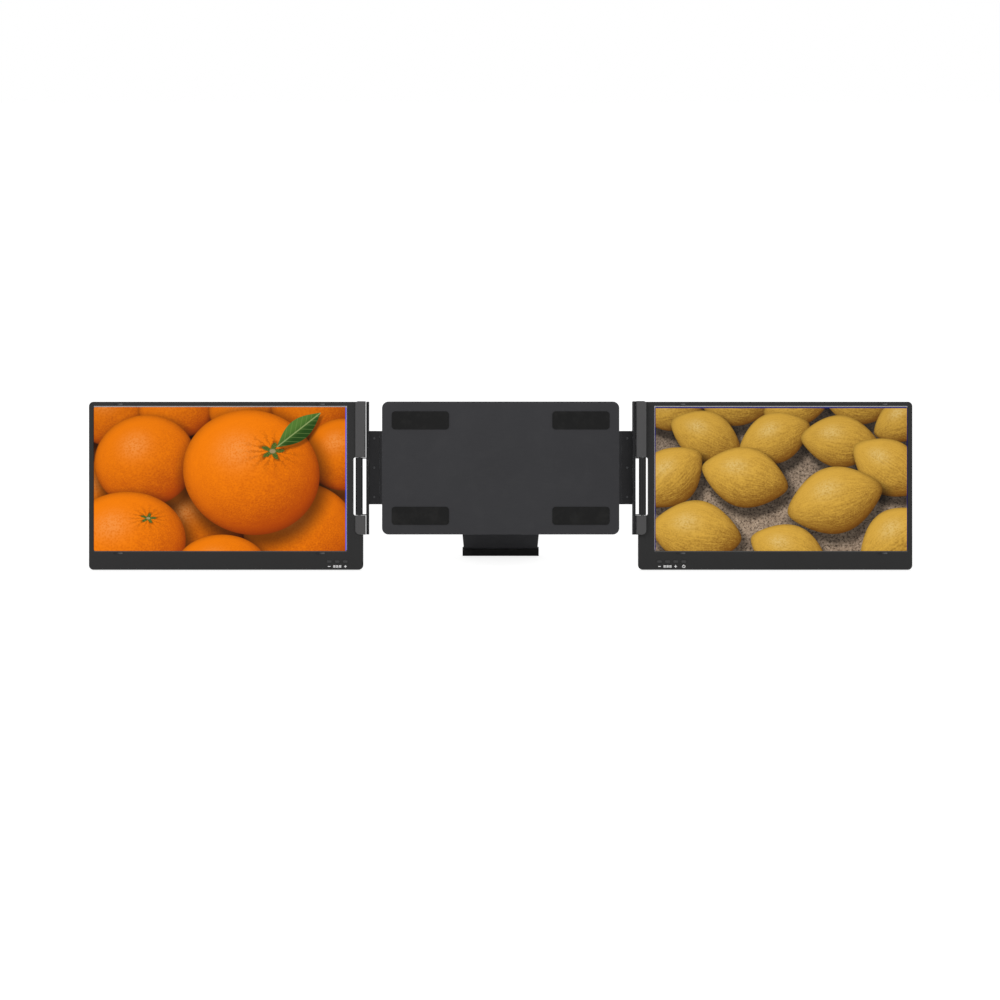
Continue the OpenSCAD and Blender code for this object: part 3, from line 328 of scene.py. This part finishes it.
recess_depth = 0.00004  # in metres, as the tree's other sizes are
recess = bpy.data.node_groups.new("cross_recess", "GeometryNodeTree")
for label, kind in (("Heads", "NodeSocketGeometry"), ("Length", "NodeSocketFloat"), ("Width", "NodeSocketFloat"),
                    ("Lean", "NodeSocketFloat"), ("Finish", "NodeSocketMaterial")):
    recess.interface.new_socket(name=label, in_out="INPUT", socket_type=kind)
recess.interface.new_socket(name="Crosses", in_out="OUTPUT", socket_type="NodeSocketGeometry")
given = put(recess, "NodeGroupInput").outputs
cross = put(recess, "GeometryNodeJoinGeometry")
for long, short in (("Length", "Width"), ("Width", "Length")):
    size = put(recess, "ShaderNodeCombineXYZ", {0: given[long], 1: recess_depth, 2: given[short]}).outputs[0]
    recess.links.new(put(recess, "GeometryNodeMeshCube", {"Size": size}).outputs[0], cross.inputs[0])
tilt = put(recess, "ShaderNodeCombineXYZ", {0: given["Lean"]}).outputs[0]
spread = put(recess, "GeometryNodeInstanceOnPoints", {
    "Points": given["Heads"], "Instance": cross.outputs[0], "Rotation": tilt}).outputs[0]
solid = put(recess, "GeometryNodeRealizeInstances", {0: spread}).outputs[0]
painted = put(recess, "GeometryNodeSetMaterial", {"Geometry": solid, "Material": given["Finish"]}).outputs[0]
put(recess, "NodeGroupOutput", {"Crosses": painted})


def grown(name, mesh, tree, inputs):
    """An object made by a Geometry Nodes tree and turned into a plain mesh."""
    seed = bpy.data.objects.new(name + "_seed", mesh)
    bpy.context.collection.objects.link(seed)
    modifier = seed.modifiers.new("grow", "NODES")
    modifier.node_group = tree
    for item in tree.interface.items_tree:
        if item.item_type == "SOCKET" and item.in_out == "INPUT" and item.name in inputs:
            modifier[item.identifier] = inputs[item.name]
    plain = bpy.data.meshes.new_from_object(seed.evaluated_get(bpy.context.evaluated_depsgraph_get()))
    bpy.data.objects.remove(seed)
    made = bpy.data.objects.new(name, plain)
    bpy.context.collection.objects.link(made)
    return made


def head_recesses(name, body, across, up, face, length, width):
    """Cross recesses in a body's rows and columns of screw heads, whose faces look backwards, in mm."""
    points = bpy.data.meshes.new(name + "_heads")
    points.from_pydata([leaning(u, v, face) for u in across for v in up], [], [])
    sizes = {"Length": length / 1000, "Width": width / 1000, "Lean": -lean, "Finish": recess_painted_shade}
    crosses = grown(name, points, recess, sizes)
    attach(crosses, body)


head_recesses("frame_screw_recesses", "centre_frame",
              across=(-136.45, 0, 136.45), up=(52, 197), face=-7.3, length=2.6, width=0.6)

# ---- Kickstand ----
# A stamped aluminium leg turns on two steel pins between bracket ears at the back of the frame.
# A rubber foot is pushed over its end.
leg_metal = anodised("anodised_leg", (0.034, 0.034, 0.037), 0.4)
pin_steel = tooled_steel("pin_steel", (0.50, 0.50, 0.51), 0.18, (0.2, 2.0, 2.0))
dress(leg_metal, "kickstand_leg", "kickstand_brackets")
dress(rubber, "kickstand_foot")
dress(pin_steel, "kickstand_pins")
dress(screw_steel, "bracket_screws")
head_recesses("bracket_screw_recesses", "centre_frame",
              across=(-38, 38), up=(144.8, 155.2), face=-9.3, length=2.0, width=0.5)

# ---- Arms and hinge bars ----
# Each arm plate slides in the frame on two studs. The hinge bar is screwed to its end, and its
# ears hold the steel pin, with a smooth plastic barrel round it in the window.
arm_metal = anodised("anodised_arm", (0.020, 0.020, 0.022), 1.6)
bar_metal = anodised("anodised_bar", (0.008, 0.008, 0.009), 0.3)
black_steel = tooled_steel("black_steel", (0.055, 0.055, 0.058), 0.32, (1.2, 1.2, 1.2))
hinge_steel = tooled_steel("hinge_steel", (0.48, 0.48, 0.49), 0.20, (2.0, 2.0, 0.2))
barrel_plastic = moulded("barrel_plastic", (0.0105, 0.0105, 0.0115), 0.36, 0.5, 0.20, 0.03)[0]
sides = {"left": -1, "right": 1}
for side, sign in sides.items():
    dress(arm_metal, f"{side}_arm_plate")
    dress(bar_metal, f"{side}_hinge_bar")
    dress(black_steel, f"{side}_bar_screws")
    dress(hinge_steel, f"{side}_hinge_pin")
    dress(barrel_plastic, f"{side}_hinge_barrel")
    head_recesses(f"{side}_bar_screw_recesses", f"{side}_arm",
                  across=(sign * 155.05,), up=(89, 125, 161), face=-6.05, length=2.6, width=0.6)

# ---- Screen housings ----
# Each monitor is a moulded rear shell closed by a thin front bezel, with four screws along the
# chin. The bezel is matt, with a painted highlight on the bevel round the display opening at its hinge side and
# top.
opening_middle = 343.05, 111.0  # across and up, in mm
opening_half = 154.5, 88.0
bevel_beside, bevel_over = 0.62, 1.2
case_screw_first, case_screw_step = 326.55, 55.77
shell_plastic = moulded("shell_plastic", (0.022, 0.022, 0.024), 0.50, 1.8, 0.22, 0.08)[0]

bezel_plastic, tree, shader, shade = moulded(
    "bezel_plastic", (0.0187, 0.0187, 0.0189), 0.46, 0.7, 0.06, 0.01, 0.00025)
spot = use(tree, on_panel)
outward = calc(tree, "SUBTRACT", calc(tree, "ABSOLUTE", spot["Across"]), opening_middle[0])
upward = calc(tree, "SUBTRACT", spot["Up"], opening_middle[1])
beside = calc(tree, "SUBTRACT", calc(tree, "ABSOLUTE", outward), opening_half[0])
over = calc(tree, "SUBTRACT", calc(tree, "ABSOLUTE", upward), opening_half[1])
beyond = calc(tree, "MAXIMUM", calc(tree, "DIVIDE", beside, bevel_beside), calc(tree, "DIVIDE", over, bevel_over))
ring = fade(tree, beyond, 0.88, 1.12, 1.0, 0.0)
# The bevel's painted highlight shows above the chin, off the outer side, and on the front face only
above_chin = fade(tree, spot["Up"], 23.2, 25.0, 0.12, 1.0)
off_outer_side = fade(tree, outward, 153.8, 154.4, 1.0, 0.0)
on_front = fade(tree, spot["Out"], 6.4, 6.7)
for bound in (above_chin, off_outer_side, on_front):
    ring = calc(tree, "MULTIPLY", ring, bound)
# Painted highlight: the pale band is painted into the bezel's base colour where the bevel catches the light
feed(shader, {"Base Color": mix(tree, ring, shade, (0.40, 0.40, 0.41, 1))})

for side, sign in sides.items():
    dress(shell_plastic, f"{side}_rear_shell")
    dress(bezel_plastic, f"{side}_front_bezel")
    dress(black_steel, f"{side}_case_screws")
    columns = [sign * (case_screw_first + i * case_screw_step) for i in range(4)]
    head_recesses(f"{side}_case_screw_recesses", f"{side}_screen",
                  across=columns, up=(5.6,), face=-1.5, length=2.0, width=0.5)

# ---- Hinge covers and leaves ----
# Satin grey moulded caps snap over the stamped steel leaves, which are screwed into each screen
# and carry it on its pin.
cover_plastic = moulded("cover_plastic", (0.0695, 0.0685, 0.0695), 0.40, 0.6, 0.15, 0.03, 0.0003)[0]
leaf_steel = tooled_steel("leaf_steel", (0.44, 0.44, 0.45), 0.26, (0.3, 1.5, 1.5))
for side in sides:
    dress(cover_plastic, f"{side}_upper_hinge_cover", f"{side}_lower_hinge_cover")
    dress(leaf_steel, f"{side}_hinge_leaves")
    dress(screw_steel, f"{side}_leaf_screws")

# ---- Boards and sockets ----
# The driver board lies along the chin and carries two USB-C sockets and a mini HDMI socket.
# A small key board stands on it behind the keys. Both are green with tinned copper.
parts_from, parts_to = 1.95, 3.2  # depth of the parts on the boards, in mm
socket_middle = 3.5
board_green, tree, shader = new_finish("board_green")
spot = use(tree, on_panel)
tracks = put(tree, "ShaderNodeTexBrick", {
    "Vector": spot["Place"], "Scale": 0.5, "Mortar Size": 0.06, "Mortar Smooth": 0.2,
    "Brick Width": 1.7, "Row Height": 0.8, "Color1": (0.008, 0.075, 0.035, 1),
    "Color2": (0.010, 0.090, 0.042, 1), "Mortar": (0.016, 0.13, 0.060, 1)}).outputs[0]
dots = put(tree, "ShaderNodeTexVoronoi", {"Vector": spot["Place"], "Scale": 0.35}).outputs["Distance"]
tinned = fade(tree, dots, 0.10, 0.14, 1.0, 0.0)
soldered = mix(tree, tinned, tracks, (0.55, 0.54, 0.50, 1))
parts = calc(tree, "MULTIPLY", calc(tree, "GREATER_THAN", spot["Out"], parts_from),
             calc(tree, "LESS_THAN", spot["Out"], parts_to))
feed(shader, {"Base Color": mix(tree, parts, soldered, (0.012, 0.012, 0.013, 1)),
              "Metallic": calc(tree, "MULTIPLY", tinned, calc(tree, "SUBTRACT", 1.0, parts)),
              "Roughness": fade(tree, dots, 0.0, 0.5, 0.25, 0.45), "Coat Weight": 0.3})

socket_metal, tree, shader = new_finish("socket_metal")
spot = use(tree, on_panel)
polish = noise(tree, spot["Place"], 1.5, 4.0)
off_middle = calc(tree, "ABSOLUTE", calc(tree, "SUBTRACT", spot["Out"], socket_middle))
tongue = fade(tree, off_middle, 0.36, 0.42, 1.0, 0.0)
sheet = mix(tree, polish, (0.62, 0.62, 0.63, 1), (0.50, 0.50, 0.52, 1))
feed(shader, {"Base Color": mix(tree, tongue, sheet, (0.010, 0.010, 0.011, 1)),
              "Metallic": calc(tree, "SUBTRACT", 1.0, tongue),
              "Roughness": calc(tree, "MULTIPLY_ADD", polish, 0.15, 0.18)})
for side in sides:
    dress(board_green, f"{side}_driver_board", f"{side}_key_board")
    dress(socket_metal, f"{side}_usb_c_ports", f"{side}_mini_hdmi_port")

# ---- Displays ----
# A 14-inch panel with an anti-glare front over its backlight unit. Each shows a plain
# picture of fruit, drawn here shape by shape: oranges on the left, lemons on the right.
back_sheet, tree, shader = new_finish("backlight_sheet")
cells = put(tree, "ShaderNodeTexVoronoi", {"Vector": use(tree, on_panel)["Place"], "Scale": 0.25},
            feature="SMOOTH_F1").outputs["Distance"]
cloudy = mix(tree, fade(tree, cells, 0.1, 0.5), (0.62, 0.62, 0.64, 1), (0.52, 0.53, 0.55, 1))
feed(shader, {"Base Color": cloudy, "Roughness": fade(tree, cells, 0.0, 0.6, 0.35, 0.55)})
dress(back_sheet, "left_backlight", "right_backlight")


def vector_of(tree, x, y, z):
    """A vector put together from three numbers."""
    return put(tree, "ShaderNodeCombineXYZ", {0: x, 1: y, 2: z}).outputs[0]


def local_frame(tree, vector, angle, length, width):
    """A picture position turned into a shape's own axes, as shares of its half sizes."""
    spun = put(tree, "ShaderNodeVectorRotate", {"Vector": vector, "Angle": calc(tree, "MULTIPLY", angle, -1.0)},
               rotation_type="Z_AXIS").outputs[0]
    parts = put(tree, "ShaderNodeSeparateXYZ", {0: spun}).outputs
    return calc(tree, "DIVIDE", parts[0], length), calc(tree, "DIVIDE", parts[1], width)


def oval(tree, s, t, point):
    """How far out a point lies in an oval with drawn-in ends, 1 being its outline, and its height there."""
    taper = calc(tree, "SUBTRACT", 1.0, calc(tree, "MULTIPLY", point, calc(tree, "MULTIPLY", s, s)))
    drawn = calc(tree, "DIVIDE", t, calc(tree, "MAXIMUM", taper, 0.05))
    return calc(tree, "MULTIPLY_ADD", drawn, drawn, calc(tree, "MULTIPLY", s, s)), drawn


# One fruit, laid over what is under it: a shaded oval with pored peel, a highlight and a soft shadow
fruit, given, result = effect(
    "fruit",
    {"Place": ("vector", (0, 0, 0)), "Centre": ("vector", (0, 0, 0)), "Half Length": ("value", 50.0),
     "Half Width": ("value", 45.0), "Angle": ("value", 0.0), "Point": ("value", 0.0),
     "Pale": ("colour", (1, 0.5, 0.1, 1)), "Deep": ("colour", (0.3, 0.05, 0, 1)),
     "Shine": ("colour", (1, 0.7, 0.3, 1)), "Under": ("colour", (0, 0, 0, 1)), "Blur": ("value", 0.03),
     "Pores": ("value", 1.0), "Streaks": ("value", 0.0), "Seed": ("value", 0.0)},
    {"Colour": "colour"})
offset = vector_calc(fruit, "SUBTRACT", given["Place"], given["Centre"])
s, t = local_frame(fruit, offset, given["Angle"], given["Half Length"], given["Half Width"])
far, drawn = oval(fruit, s, t, given["Point"])
rise = calc(fruit, "SQRT", calc(fruit, "MAXIMUM", calc(fruit, "SUBTRACT", 1.0, far), 0.0))
face = vector_calc(fruit, "NORMALIZE", vector_of(fruit, s, drawn, rise))
counter = calc(fruit, "MULTIPLY", given["Angle"], -1.0)
sun, gloss = [put(fruit, "ShaderNodeVectorRotate", {"Vector": way, "Angle": counter},
                  rotation_type="Z_AXIS").outputs[0] for way in ((-0.38, 0.62, 0.69), (-0.22, 0.36, 0.905))]
along_skin = calc(fruit, "MULTIPLY", s, given["Half Length"])
ball = vector_of(fruit, along_skin, calc(fruit, "MULTIPLY", drawn, given["Half Width"]), given["Seed"])
swell = calc(fruit, "DIVIDE", 1.0, calc(fruit, "MAXIMUM", rise, 0.35))
skin = vector_calc(fruit, "MULTIPLY", ball, vector_of(fruit, swell, swell, 1.0))
pores = put(fruit, "ShaderNodeTexVoronoi", {"Vector": skin, "Scale": 0.42, "Randomness": 1.0},
            feature="SMOOTH_F1").outputs["Distance"]
pits = calc(fruit, "MULTIPLY", calc(fruit, "SUBTRACT", pores, 0.35), given["Pores"])
streak = put(fruit, "ShaderNodeMapping", {"Vector": skin, "Scale": (0.05, 0.5, 1.0)}).outputs[0]
lit = calc(fruit, "MULTIPLY_ADD", pits, 0.62, vector_calc(fruit, "DOT_PRODUCT", face, sun, out=1))
lit = swing(fruit, noise(fruit, skin, 0.045, 5.0, 0.6), 0.45, lit)
lit = swing(fruit, noise(fruit, streak, 1.0, 3.0), given["Streaks"], lit)
peel = mix(fruit, fade(fruit, lit, -0.50, 1.20), given["Deep"], given["Pale"])
peel = scaled(fruit, peel, fade(fruit, rise, 0.0, 0.55, 0.62, 1.0))
glint = calc(fruit, "MAXIMUM", vector_calc(fruit, "DOT_PRODUCT", face, gloss, out=1), 0.0)
glint = calc(fruit, "MULTIPLY", calc(fruit, "POWER", glint, 26.0), fade(fruit, pores, 0.15, 0.6, 0.10, 0.34))
peel = mix(fruit, glint, peel, given["Shine"])
below = vector_calc(fruit, "SUBTRACT", offset, (5.0, -9.0, 0.0))
s, t = local_frame(fruit, below, given["Angle"], calc(fruit, "MULTIPLY", given["Half Length"], 1.08),
                   calc(fruit, "MULTIPLY", given["Half Width"], 1.12))
gloom = fade(fruit, oval(fruit, s, t, given["Point"])[0], 0.70, 1.30, 0.22, 1.0)
inside = fade(fruit, far, calc(fruit, "SUBTRACT", 1.0, given["Blur"]),
              calc(fruit, "ADD", 1.0, given["Blur"]), 1.0, 0.0)
feed(result, {"Colour": mix(fruit, inside, scaled(fruit, given["Under"], gloom), peel)})

# A fruit's green calyx, with short furrows running out from it over the peel
calyx, given, result = effect(
    "calyx",
    {"Place": ("vector", (0, 0, 0)), "Centre": ("vector", (0, 0, 0)), "Radius": ("value", 12.0),
     "Squash": ("value", 0.7), "Under": ("colour", (0, 0, 0, 1))},
    {"Colour": "colour"})
offset = vector_calc(calyx, "SUBTRACT", given["Place"], given["Centre"])
parts = put(calyx, "ShaderNodeSeparateXYZ", {0: offset}).outputs
x, y = parts[0], calc(calyx, "DIVIDE", parts[1], given["Squash"])
reach = calc(calyx, "SQRT", calc(calyx, "MULTIPLY_ADD", x, x, calc(calyx, "MULTIPLY", y, y)))
radii = calc(calyx, "DIVIDE", reach, given["Radius"])
heading = calc(calyx, "ARCTAN2", y, x)
ragged = noise(calyx, offset, 0.35, 4.0)
wave = calc(calyx, "SINE", calc(calyx, "MULTIPLY_ADD", heading, 5.0, calc(calyx, "MULTIPLY", ragged, 2.2)))
lobes = calc(calyx, "MULTIPLY", given["Radius"], calc(calyx, "MULTIPLY_ADD", wave, 0.34, 0.66))
share = calc(calyx, "DIVIDE", reach, lobes)
furrow = calc(calyx, "SINE", calc(calyx, "MULTIPLY_ADD", heading, 15.0, calc(calyx, "MULTIPLY", ragged, 9.0)))
crease = calc(calyx, "MULTIPLY", fade(calyx, furrow, 0.1, 1.0, 0.0, 0.42), fade(calyx, radii, 0.7, 3.2, 1.0, 0.0))
under = mix(calyx, crease, given["Under"], (0.18, 0.035, 0.0, 1))
under = mix(calyx, fade(calyx, share, 1.0, 1.5, 0.55, 0.0), under, (0.04, 0.01, 0.0, 1))
veins = noise(calyx, offset, 0.8, 5.0)
green = mix(calyx, fade(calyx, veins, 0.35, 0.7), (0.035, 0.075, 0.008, 1), (0.16, 0.21, 0.035, 1))
stub = mix(calyx, veins, (0.16, 0.10, 0.04, 1), (0.52, 0.42, 0.22, 1))
green = mix(calyx, fade(calyx, radii, 0.20, 0.30, 1.0, 0.0), green, stub)
feed(result, {"Colour": mix(calyx, fade(calyx, share, 0.93, 1.05, 1.0, 0.0), under, green)})

# A leaf with a midrib and side veins, lit on one half
leaf_point = 0.75
leaf, given, result = effect(
    "leaf",
    {"Place": ("vector", (0, 0, 0)), "Centre": ("vector", (0, 0, 0)), "Half Length": ("value", 30.0),
     "Half Width": ("value", 11.0), "Angle": ("value", 0.0), "Under": ("colour", (0, 0, 0, 1))},
    {"Colour": "colour"})
offset = vector_calc(leaf, "SUBTRACT", given["Place"], given["Centre"])
s, t = local_frame(leaf, offset, given["Angle"], given["Half Length"], given["Half Width"])
far = oval(leaf, s, t, leaf_point)[0]
off_rib = calc(leaf, "ABSOLUTE", t)
slant = calc(leaf, "SUBTRACT", s, calc(leaf, "MULTIPLY", off_rib, 0.45))
veins = calc(leaf, "SINE", calc(leaf, "MULTIPLY", slant, 26.0))
blade = mix(leaf, fade(leaf, t, -0.5, 0.6), (0.018, 0.060, 0.008, 1), (0.085, 0.190, 0.030, 1))
blade = mix(leaf, fade(leaf, veins, 0.8, 1.0, 0.0, 0.35), blade, (0.22, 0.32, 0.09, 1))
blade = mix(leaf, fade(leaf, off_rib, 0.03, 0.08, 0.8, 0.0), blade, (0.30, 0.38, 0.14, 1))
below = vector_calc(leaf, "SUBTRACT", offset, (3.0, -4.0, 0.0))
s, t = local_frame(leaf, below, given["Angle"], given["Half Length"], given["Half Width"])
gloom = fade(leaf, oval(leaf, s, t, leaf_point)[0], 0.7, 1.3, 0.6, 0.0)
under = mix(leaf, gloom, given["Under"], (0.03, 0.01, 0.0, 1))
feed(result, {"Colour": mix(leaf, fade(leaf, far, 0.96, 1.04, 1.0, 0.0), under, blade)})


def display(side, ground, shapes, line_colour, line_widths):
    """A display's material: its picture, laid shape over shape, shines through the anti-glare front."""
    made, tree, shader = new_finish(f"{side}_display", specular=0.03)
    spot = use(tree, on_panel)
    x = calc(tree, "SUBTRACT", spot["Across"], sides[side] * opening_middle[0])
    y = calc(tree, "SUBTRACT", spot["Up"], opening_middle[1])
    place = vector_of(tree, x, y, 0.0)
    picture = ground(tree, place, y)
    for group, values in shapes:
        picture = use(tree, group, {"Place": place, "Under": picture, **values})[0]
    outward = calc(tree, "MULTIPLY", x, float(sides[side]))
    # A thin blue line that the picture leaves along some of the panel's edges
    gaps = {"inner": calc(tree, "ADD", opening_half[0], outward),
            "outer": calc(tree, "SUBTRACT", opening_half[0], outward),
            "top": calc(tree, "SUBTRACT", opening_half[1], y)}
    nearest = 9.0
    for edge, width in line_widths.items():
        nearest = calc(tree, "MINIMUM", nearest, calc(tree, "DIVIDE", gaps[edge], width))
    picture = mix(tree, fade(tree, nearest, 0.85, 1.0, 1.0, 0.0), picture, (*line_colour, 1))
    haze = noise(tree, spot["Place"], 6.0)
    feed(shader, {"Base Color": (0.002, 0.002, 0.0025, 1), "Emission Color": picture, "Emission Strength": 1.0,
                  "Roughness": calc(tree, "MULTIPLY_ADD", haze, 0.10, 0.42)})
    dress(made, f"{side}_display_panel")


def deep_shadow(tree, place, y):
    """The dark between heaped fruit."""
    return mix(tree, noise(tree, place, 0.03, 3.0), (0.07, 0.014, 0.002, 1), (0.20, 0.045, 0.004, 1))


def gritty_ground(tree, place, y):
    """Coarse pale ground with dark and pale specks, a little darker towards the back."""
    coarse = noise(tree, place, 0.05, 6.0, 0.7)
    grit = noise(tree, place, 0.36, 4.0, 0.8)
    earth = mix(tree, fade(tree, coarse, 0.3, 0.7), (0.26, 0.185, 0.13, 1), (0.46, 0.34, 0.24, 1))
    earth = mix(tree, fade(tree, grit, 0.50, 0.60, 0.0, 0.90), earth, (0.040, 0.028, 0.018, 1))
    earth = mix(tree, fade(tree, grit, 0.44, 0.36, 0.0, 0.70), earth, (0.62, 0.50, 0.38, 1))
    return mix(tree, fade(tree, y, -80.0, 90.0, 0.0, 0.55), earth, (0.06, 0.048, 0.04, 1))


def laid(x, y, length, width, angle, blur, tone, pale, deep, peel):
    """One fruit's values, in mm from the picture's middle and in degrees."""
    return fruit, {"Centre": (x, y, 0), "Half Length": length, "Half Width": width, "Angle": math.radians(angle),
                   "Blur": blur, "Pale": (*[channel * tone for channel in pale], 1),
                   "Deep": (deep[0] * tone, deep[1] * tone, deep[2], 1), "Seed": x * 0.37 + y, **peel}


def orange(x, y, length, width, angle, blur=0.02, tone=1.0):
    """One orange of the left picture."""
    peel = {"Shine": (0.95, 0.46, 0.15, 1), "Pores": 1.0, "Streaks": 0.25}
    return laid(x, y, length, width, angle, blur, tone, (0.93, 0.215, 0.0), (0.40, 0.050, 0.0), peel)


def lemon(x, y, length, width, angle, blur=0.02, tone=1.0):
    """One lemon of the right picture."""
    peel = {"Shine": (0.85, 0.70, 0.34, 1), "Pores": 1.1, "Streaks": 1.1, "Point": 0.42}
    return laid(x, y, length, width, angle, blur, tone, (0.68, 0.39, 0.055), (0.17, 0.060, 0.004), peel)


display("left", deep_shadow, [
    orange(-152, -22, 48, 44, 0, 0.06, 0.66), orange(-32, -58, 66, 54, 8, 0.05, 0.72),
    orange(150, -18, 44, 36, 0, 0.06, 0.70), orange(-132, 80, 46, 40, 0, 0.06, 0.80),
    orange(-52, 88, 48, 38, 8, 0.06, 0.84), orange(32, 84, 46, 40, -6, 0.06, 0.82),
    orange(112, 90, 50, 42, 0, 0.06, 0.80), orange(150, 30, 46, 44, 0, 0.04, 0.88),
    orange(-92, 22, 62, 56, 12, 0.03, 0.93), orange(98, -66, 70, 62, -10, 0.02, 0.95),
    orange(-118, -78, 76, 62, 8, 0.018, 1.0), orange(38, 8, 84, 76, -14, 0.014, 1.0),
    orange(2, -112, 58, 44, 0, 0.02, 0.95),
    (calyx, {"Centre": (64, 34, 0), "Radius": 15.0, "Squash": 0.72}),
    (calyx, {"Centre": (-88, -48, 0), "Radius": 10.0, "Squash": 0.62}),
    (leaf, {"Centre": (96, 60, 0), "Half Length": 34.0, "Half Width": 13.0, "Angle": math.radians(38)}),
], (0.04, 0.10, 0.75), {"inner": 1.5})

display("right", gritty_ground, [
    lemon(-132, 84, 40, 25, 12, 0.05, 0.82), lemon(-58, 90, 42, 25, -8, 0.05, 0.80),
    lemon(18, 88, 40, 24, 10, 0.05, 0.84), lemon(92, 92, 42, 25, -14, 0.05, 0.80),
    lemon(148, 72, 38, 26, 28, 0.04, 0.86), lemon(-92, 52, 46, 31, -24, 0.03, 0.92),
    lemon(-8, 50, 46, 31, 22, 0.03, 0.94), lemon(72, 46, 48, 32, -6, 0.03, 0.92),
    lemon(-136, 2, 48, 35, 40, 0.02, 0.98), lemon(132, 14, 50, 34, -32, 0.02, 0.97),
    lemon(-44, 2, 54, 37, -14, 0.016, 1.0), lemon(66, -26, 60, 41, 16, 0.014, 1.0),
    lemon(-104, -66, 56, 40, -8, 0.014, 1.0), lemon(142, -74, 52, 38, 34, 0.014, 1.0),
    lemon(10, -90, 50, 34, -22, 0.014, 1.0),
], (0.004, 0.004, 0.16), {"top": 1.5, "inner": 1.0, "outer": 0.6})

# ---- Keys and their legends ----
# Small satin keys stand low on the chin, nearest the hinge. A white legend is printed
# under each: minus, a menu sign of bars, plus, and on the right screen a power ring.
stroke = 0.9  # all sizes of the legends are in mm
sign_half = 1.6
menu_step, menu_row, menu_half, menu_stroke = 3.5, 1.0, 1.4, 0.7
ring_radius, ring_stroke, ring_from, ring_sweep, ring_steps = 1.6, 0.7, 118, 304, 28
legend_v = 4.1
print_back, print_front = 7.5, 7.53
key_plastic = moulded("key_plastic", (0.047, 0.047, 0.048), 0.40, 0.5, 0.20, 0.02, 0.0003)[0]
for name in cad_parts:
    if name.endswith("_button"):
        dress(key_plastic, name)

print_white, tree, shader = new_finish("printed_white")
patch = noise(tree, own_place(tree), 1800.0)
worn = mix(tree, fade(tree, patch, 0.35, 0.65), (0.86, 0.86, 0.86, 1), (0.74, 0.74, 0.74, 1))
feed(shader, {"Base Color": worn, "Roughness": calc(tree, "MULTIPLY_ADD", patch, 0.2, 0.4)})


def printed(name, body, bars, rings=()):
    """A legend of flat bars (u0, v0, u1, v1) and open rings (u, v), printed on the bezel."""
    mesh = bmesh.new()
    for u0, v0, u1, v1 in bars:
        outline = ((u0, v0), (u1, v0), (u1, v1), (u0, v1))
        back, front = [[mesh.verts.new(leaning(u, v, w)) for u, v in outline] for w in (print_back, print_front)]
        mesh.faces.new(front)
        mesh.faces.new(back[::-1])
        for i, j in ((0, 1), (1, 2), (2, 3), (3, 0)):
            mesh.faces.new((back[i], back[j], front[j], front[i]))
    inner, outer = ring_radius - ring_stroke / 2, ring_radius + ring_stroke / 2
    section = ((inner, print_back), (outer, print_back), (outer, print_front), (inner, print_front))
    for u, v in rings:
        loops = []
        for i in range(ring_steps + 1):
            angle = math.radians(ring_from + i * ring_sweep / ring_steps)
            loops.append([mesh.verts.new(leaning(u + r * math.cos(angle), v + r * math.sin(angle), w))
                          for r, w in section])
        for near, far in zip(loops, loops[1:]):
            for i, j in ((0, 1), (1, 2), (2, 3), (3, 0)):
                mesh.faces.new((near[i], near[j], far[j], far[i]))
        mesh.faces.new(loops[0])
        mesh.faces.new(loops[-1])
    bmesh.ops.recalc_face_normals(mesh, faces=mesh.faces)
    data = bpy.data.meshes.new(name)
    mesh.to_mesh(data)
    data.materials.append(print_white)
    made = bpy.data.objects.new(name, data)
    bpy.context.collection.objects.link(made)
    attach(made, body)


def minus_sign(u):
    """The bar of a minus sign."""
    return [(u - sign_half, legend_v - stroke / 2, u + sign_half, legend_v + stroke / 2)]


def plus_sign(u):
    """The bars of a plus sign, the upright one in two halves."""
    return minus_sign(u) + [(u - stroke / 2, legend_v + stroke / 2, u + stroke / 2, legend_v + sign_half),
                            (u - stroke / 2, legend_v - sign_half, u + stroke / 2, legend_v - stroke / 2)]


def menu_sign(u):
    """Three stacks of three short bars."""
    return [(u + x - menu_half, legend_v + y - menu_stroke / 2, u + x + menu_half, legend_v + y + menu_stroke / 2)
            for x in (-menu_step, 0.0, menu_step) for y in (-menu_row, 0.0, menu_row)]


def power_stroke(u):
    """The upright stroke in the gap of the power ring."""
    return [(u - 0.4, legend_v + 0.3, u + 0.4, legend_v + 2.2)]


printed("left_legends", "left_screen", plus_sign(-189.85) + menu_sign(-199.75) + minus_sign(-209.65))
printed("right_legends", "right_screen",
        minus_sign(194.15) + menu_sign(204.05) + plus_sign(213.95) + power_stroke(223.85), [(223.85, legend_v)])

# ---- Bumpers ----
# Four small rubber bumpers on each bezel keep the folded screens apart. They are glued in place,
# and each has a painted highlight towards its right-hand end.
bumper_inner, bumper_span = 220.35, 247.0  # from the middle to the nearer pair, and between the pairs, in mm
bumper_rubber, tree, shader, shade = moulded(
    "bumper_rubber", (0.015, 0.015, 0.0155), 0.62, 1.0, 0.10, 0.02, 0.0003)
across = use(tree, on_panel)["Across"]
along = calc(tree, "SUBTRACT", calc(tree, "ABSOLUTE", across), bumper_inner)
along = calc(tree, "WRAP", along, bumper_span / 2, -bumper_span / 2)
along = calc(tree, "MULTIPLY", along, calc(tree, "SIGN", across))
# Painted highlight: each bumper's base colour turns paler towards its right-hand end, with its far tip dark again
painted_highlight = calc(tree, "MULTIPLY", fade(tree, along, -2.5, 3.5), fade(tree, along, 4.8, 5.8, 1.0, 0.0))
feed(shader, {"Base Color": mix(tree, painted_highlight, shade, (0.085, 0.085, 0.087, 1))})
dress(bumper_rubber, "left_bumpers", "right_bumpers")
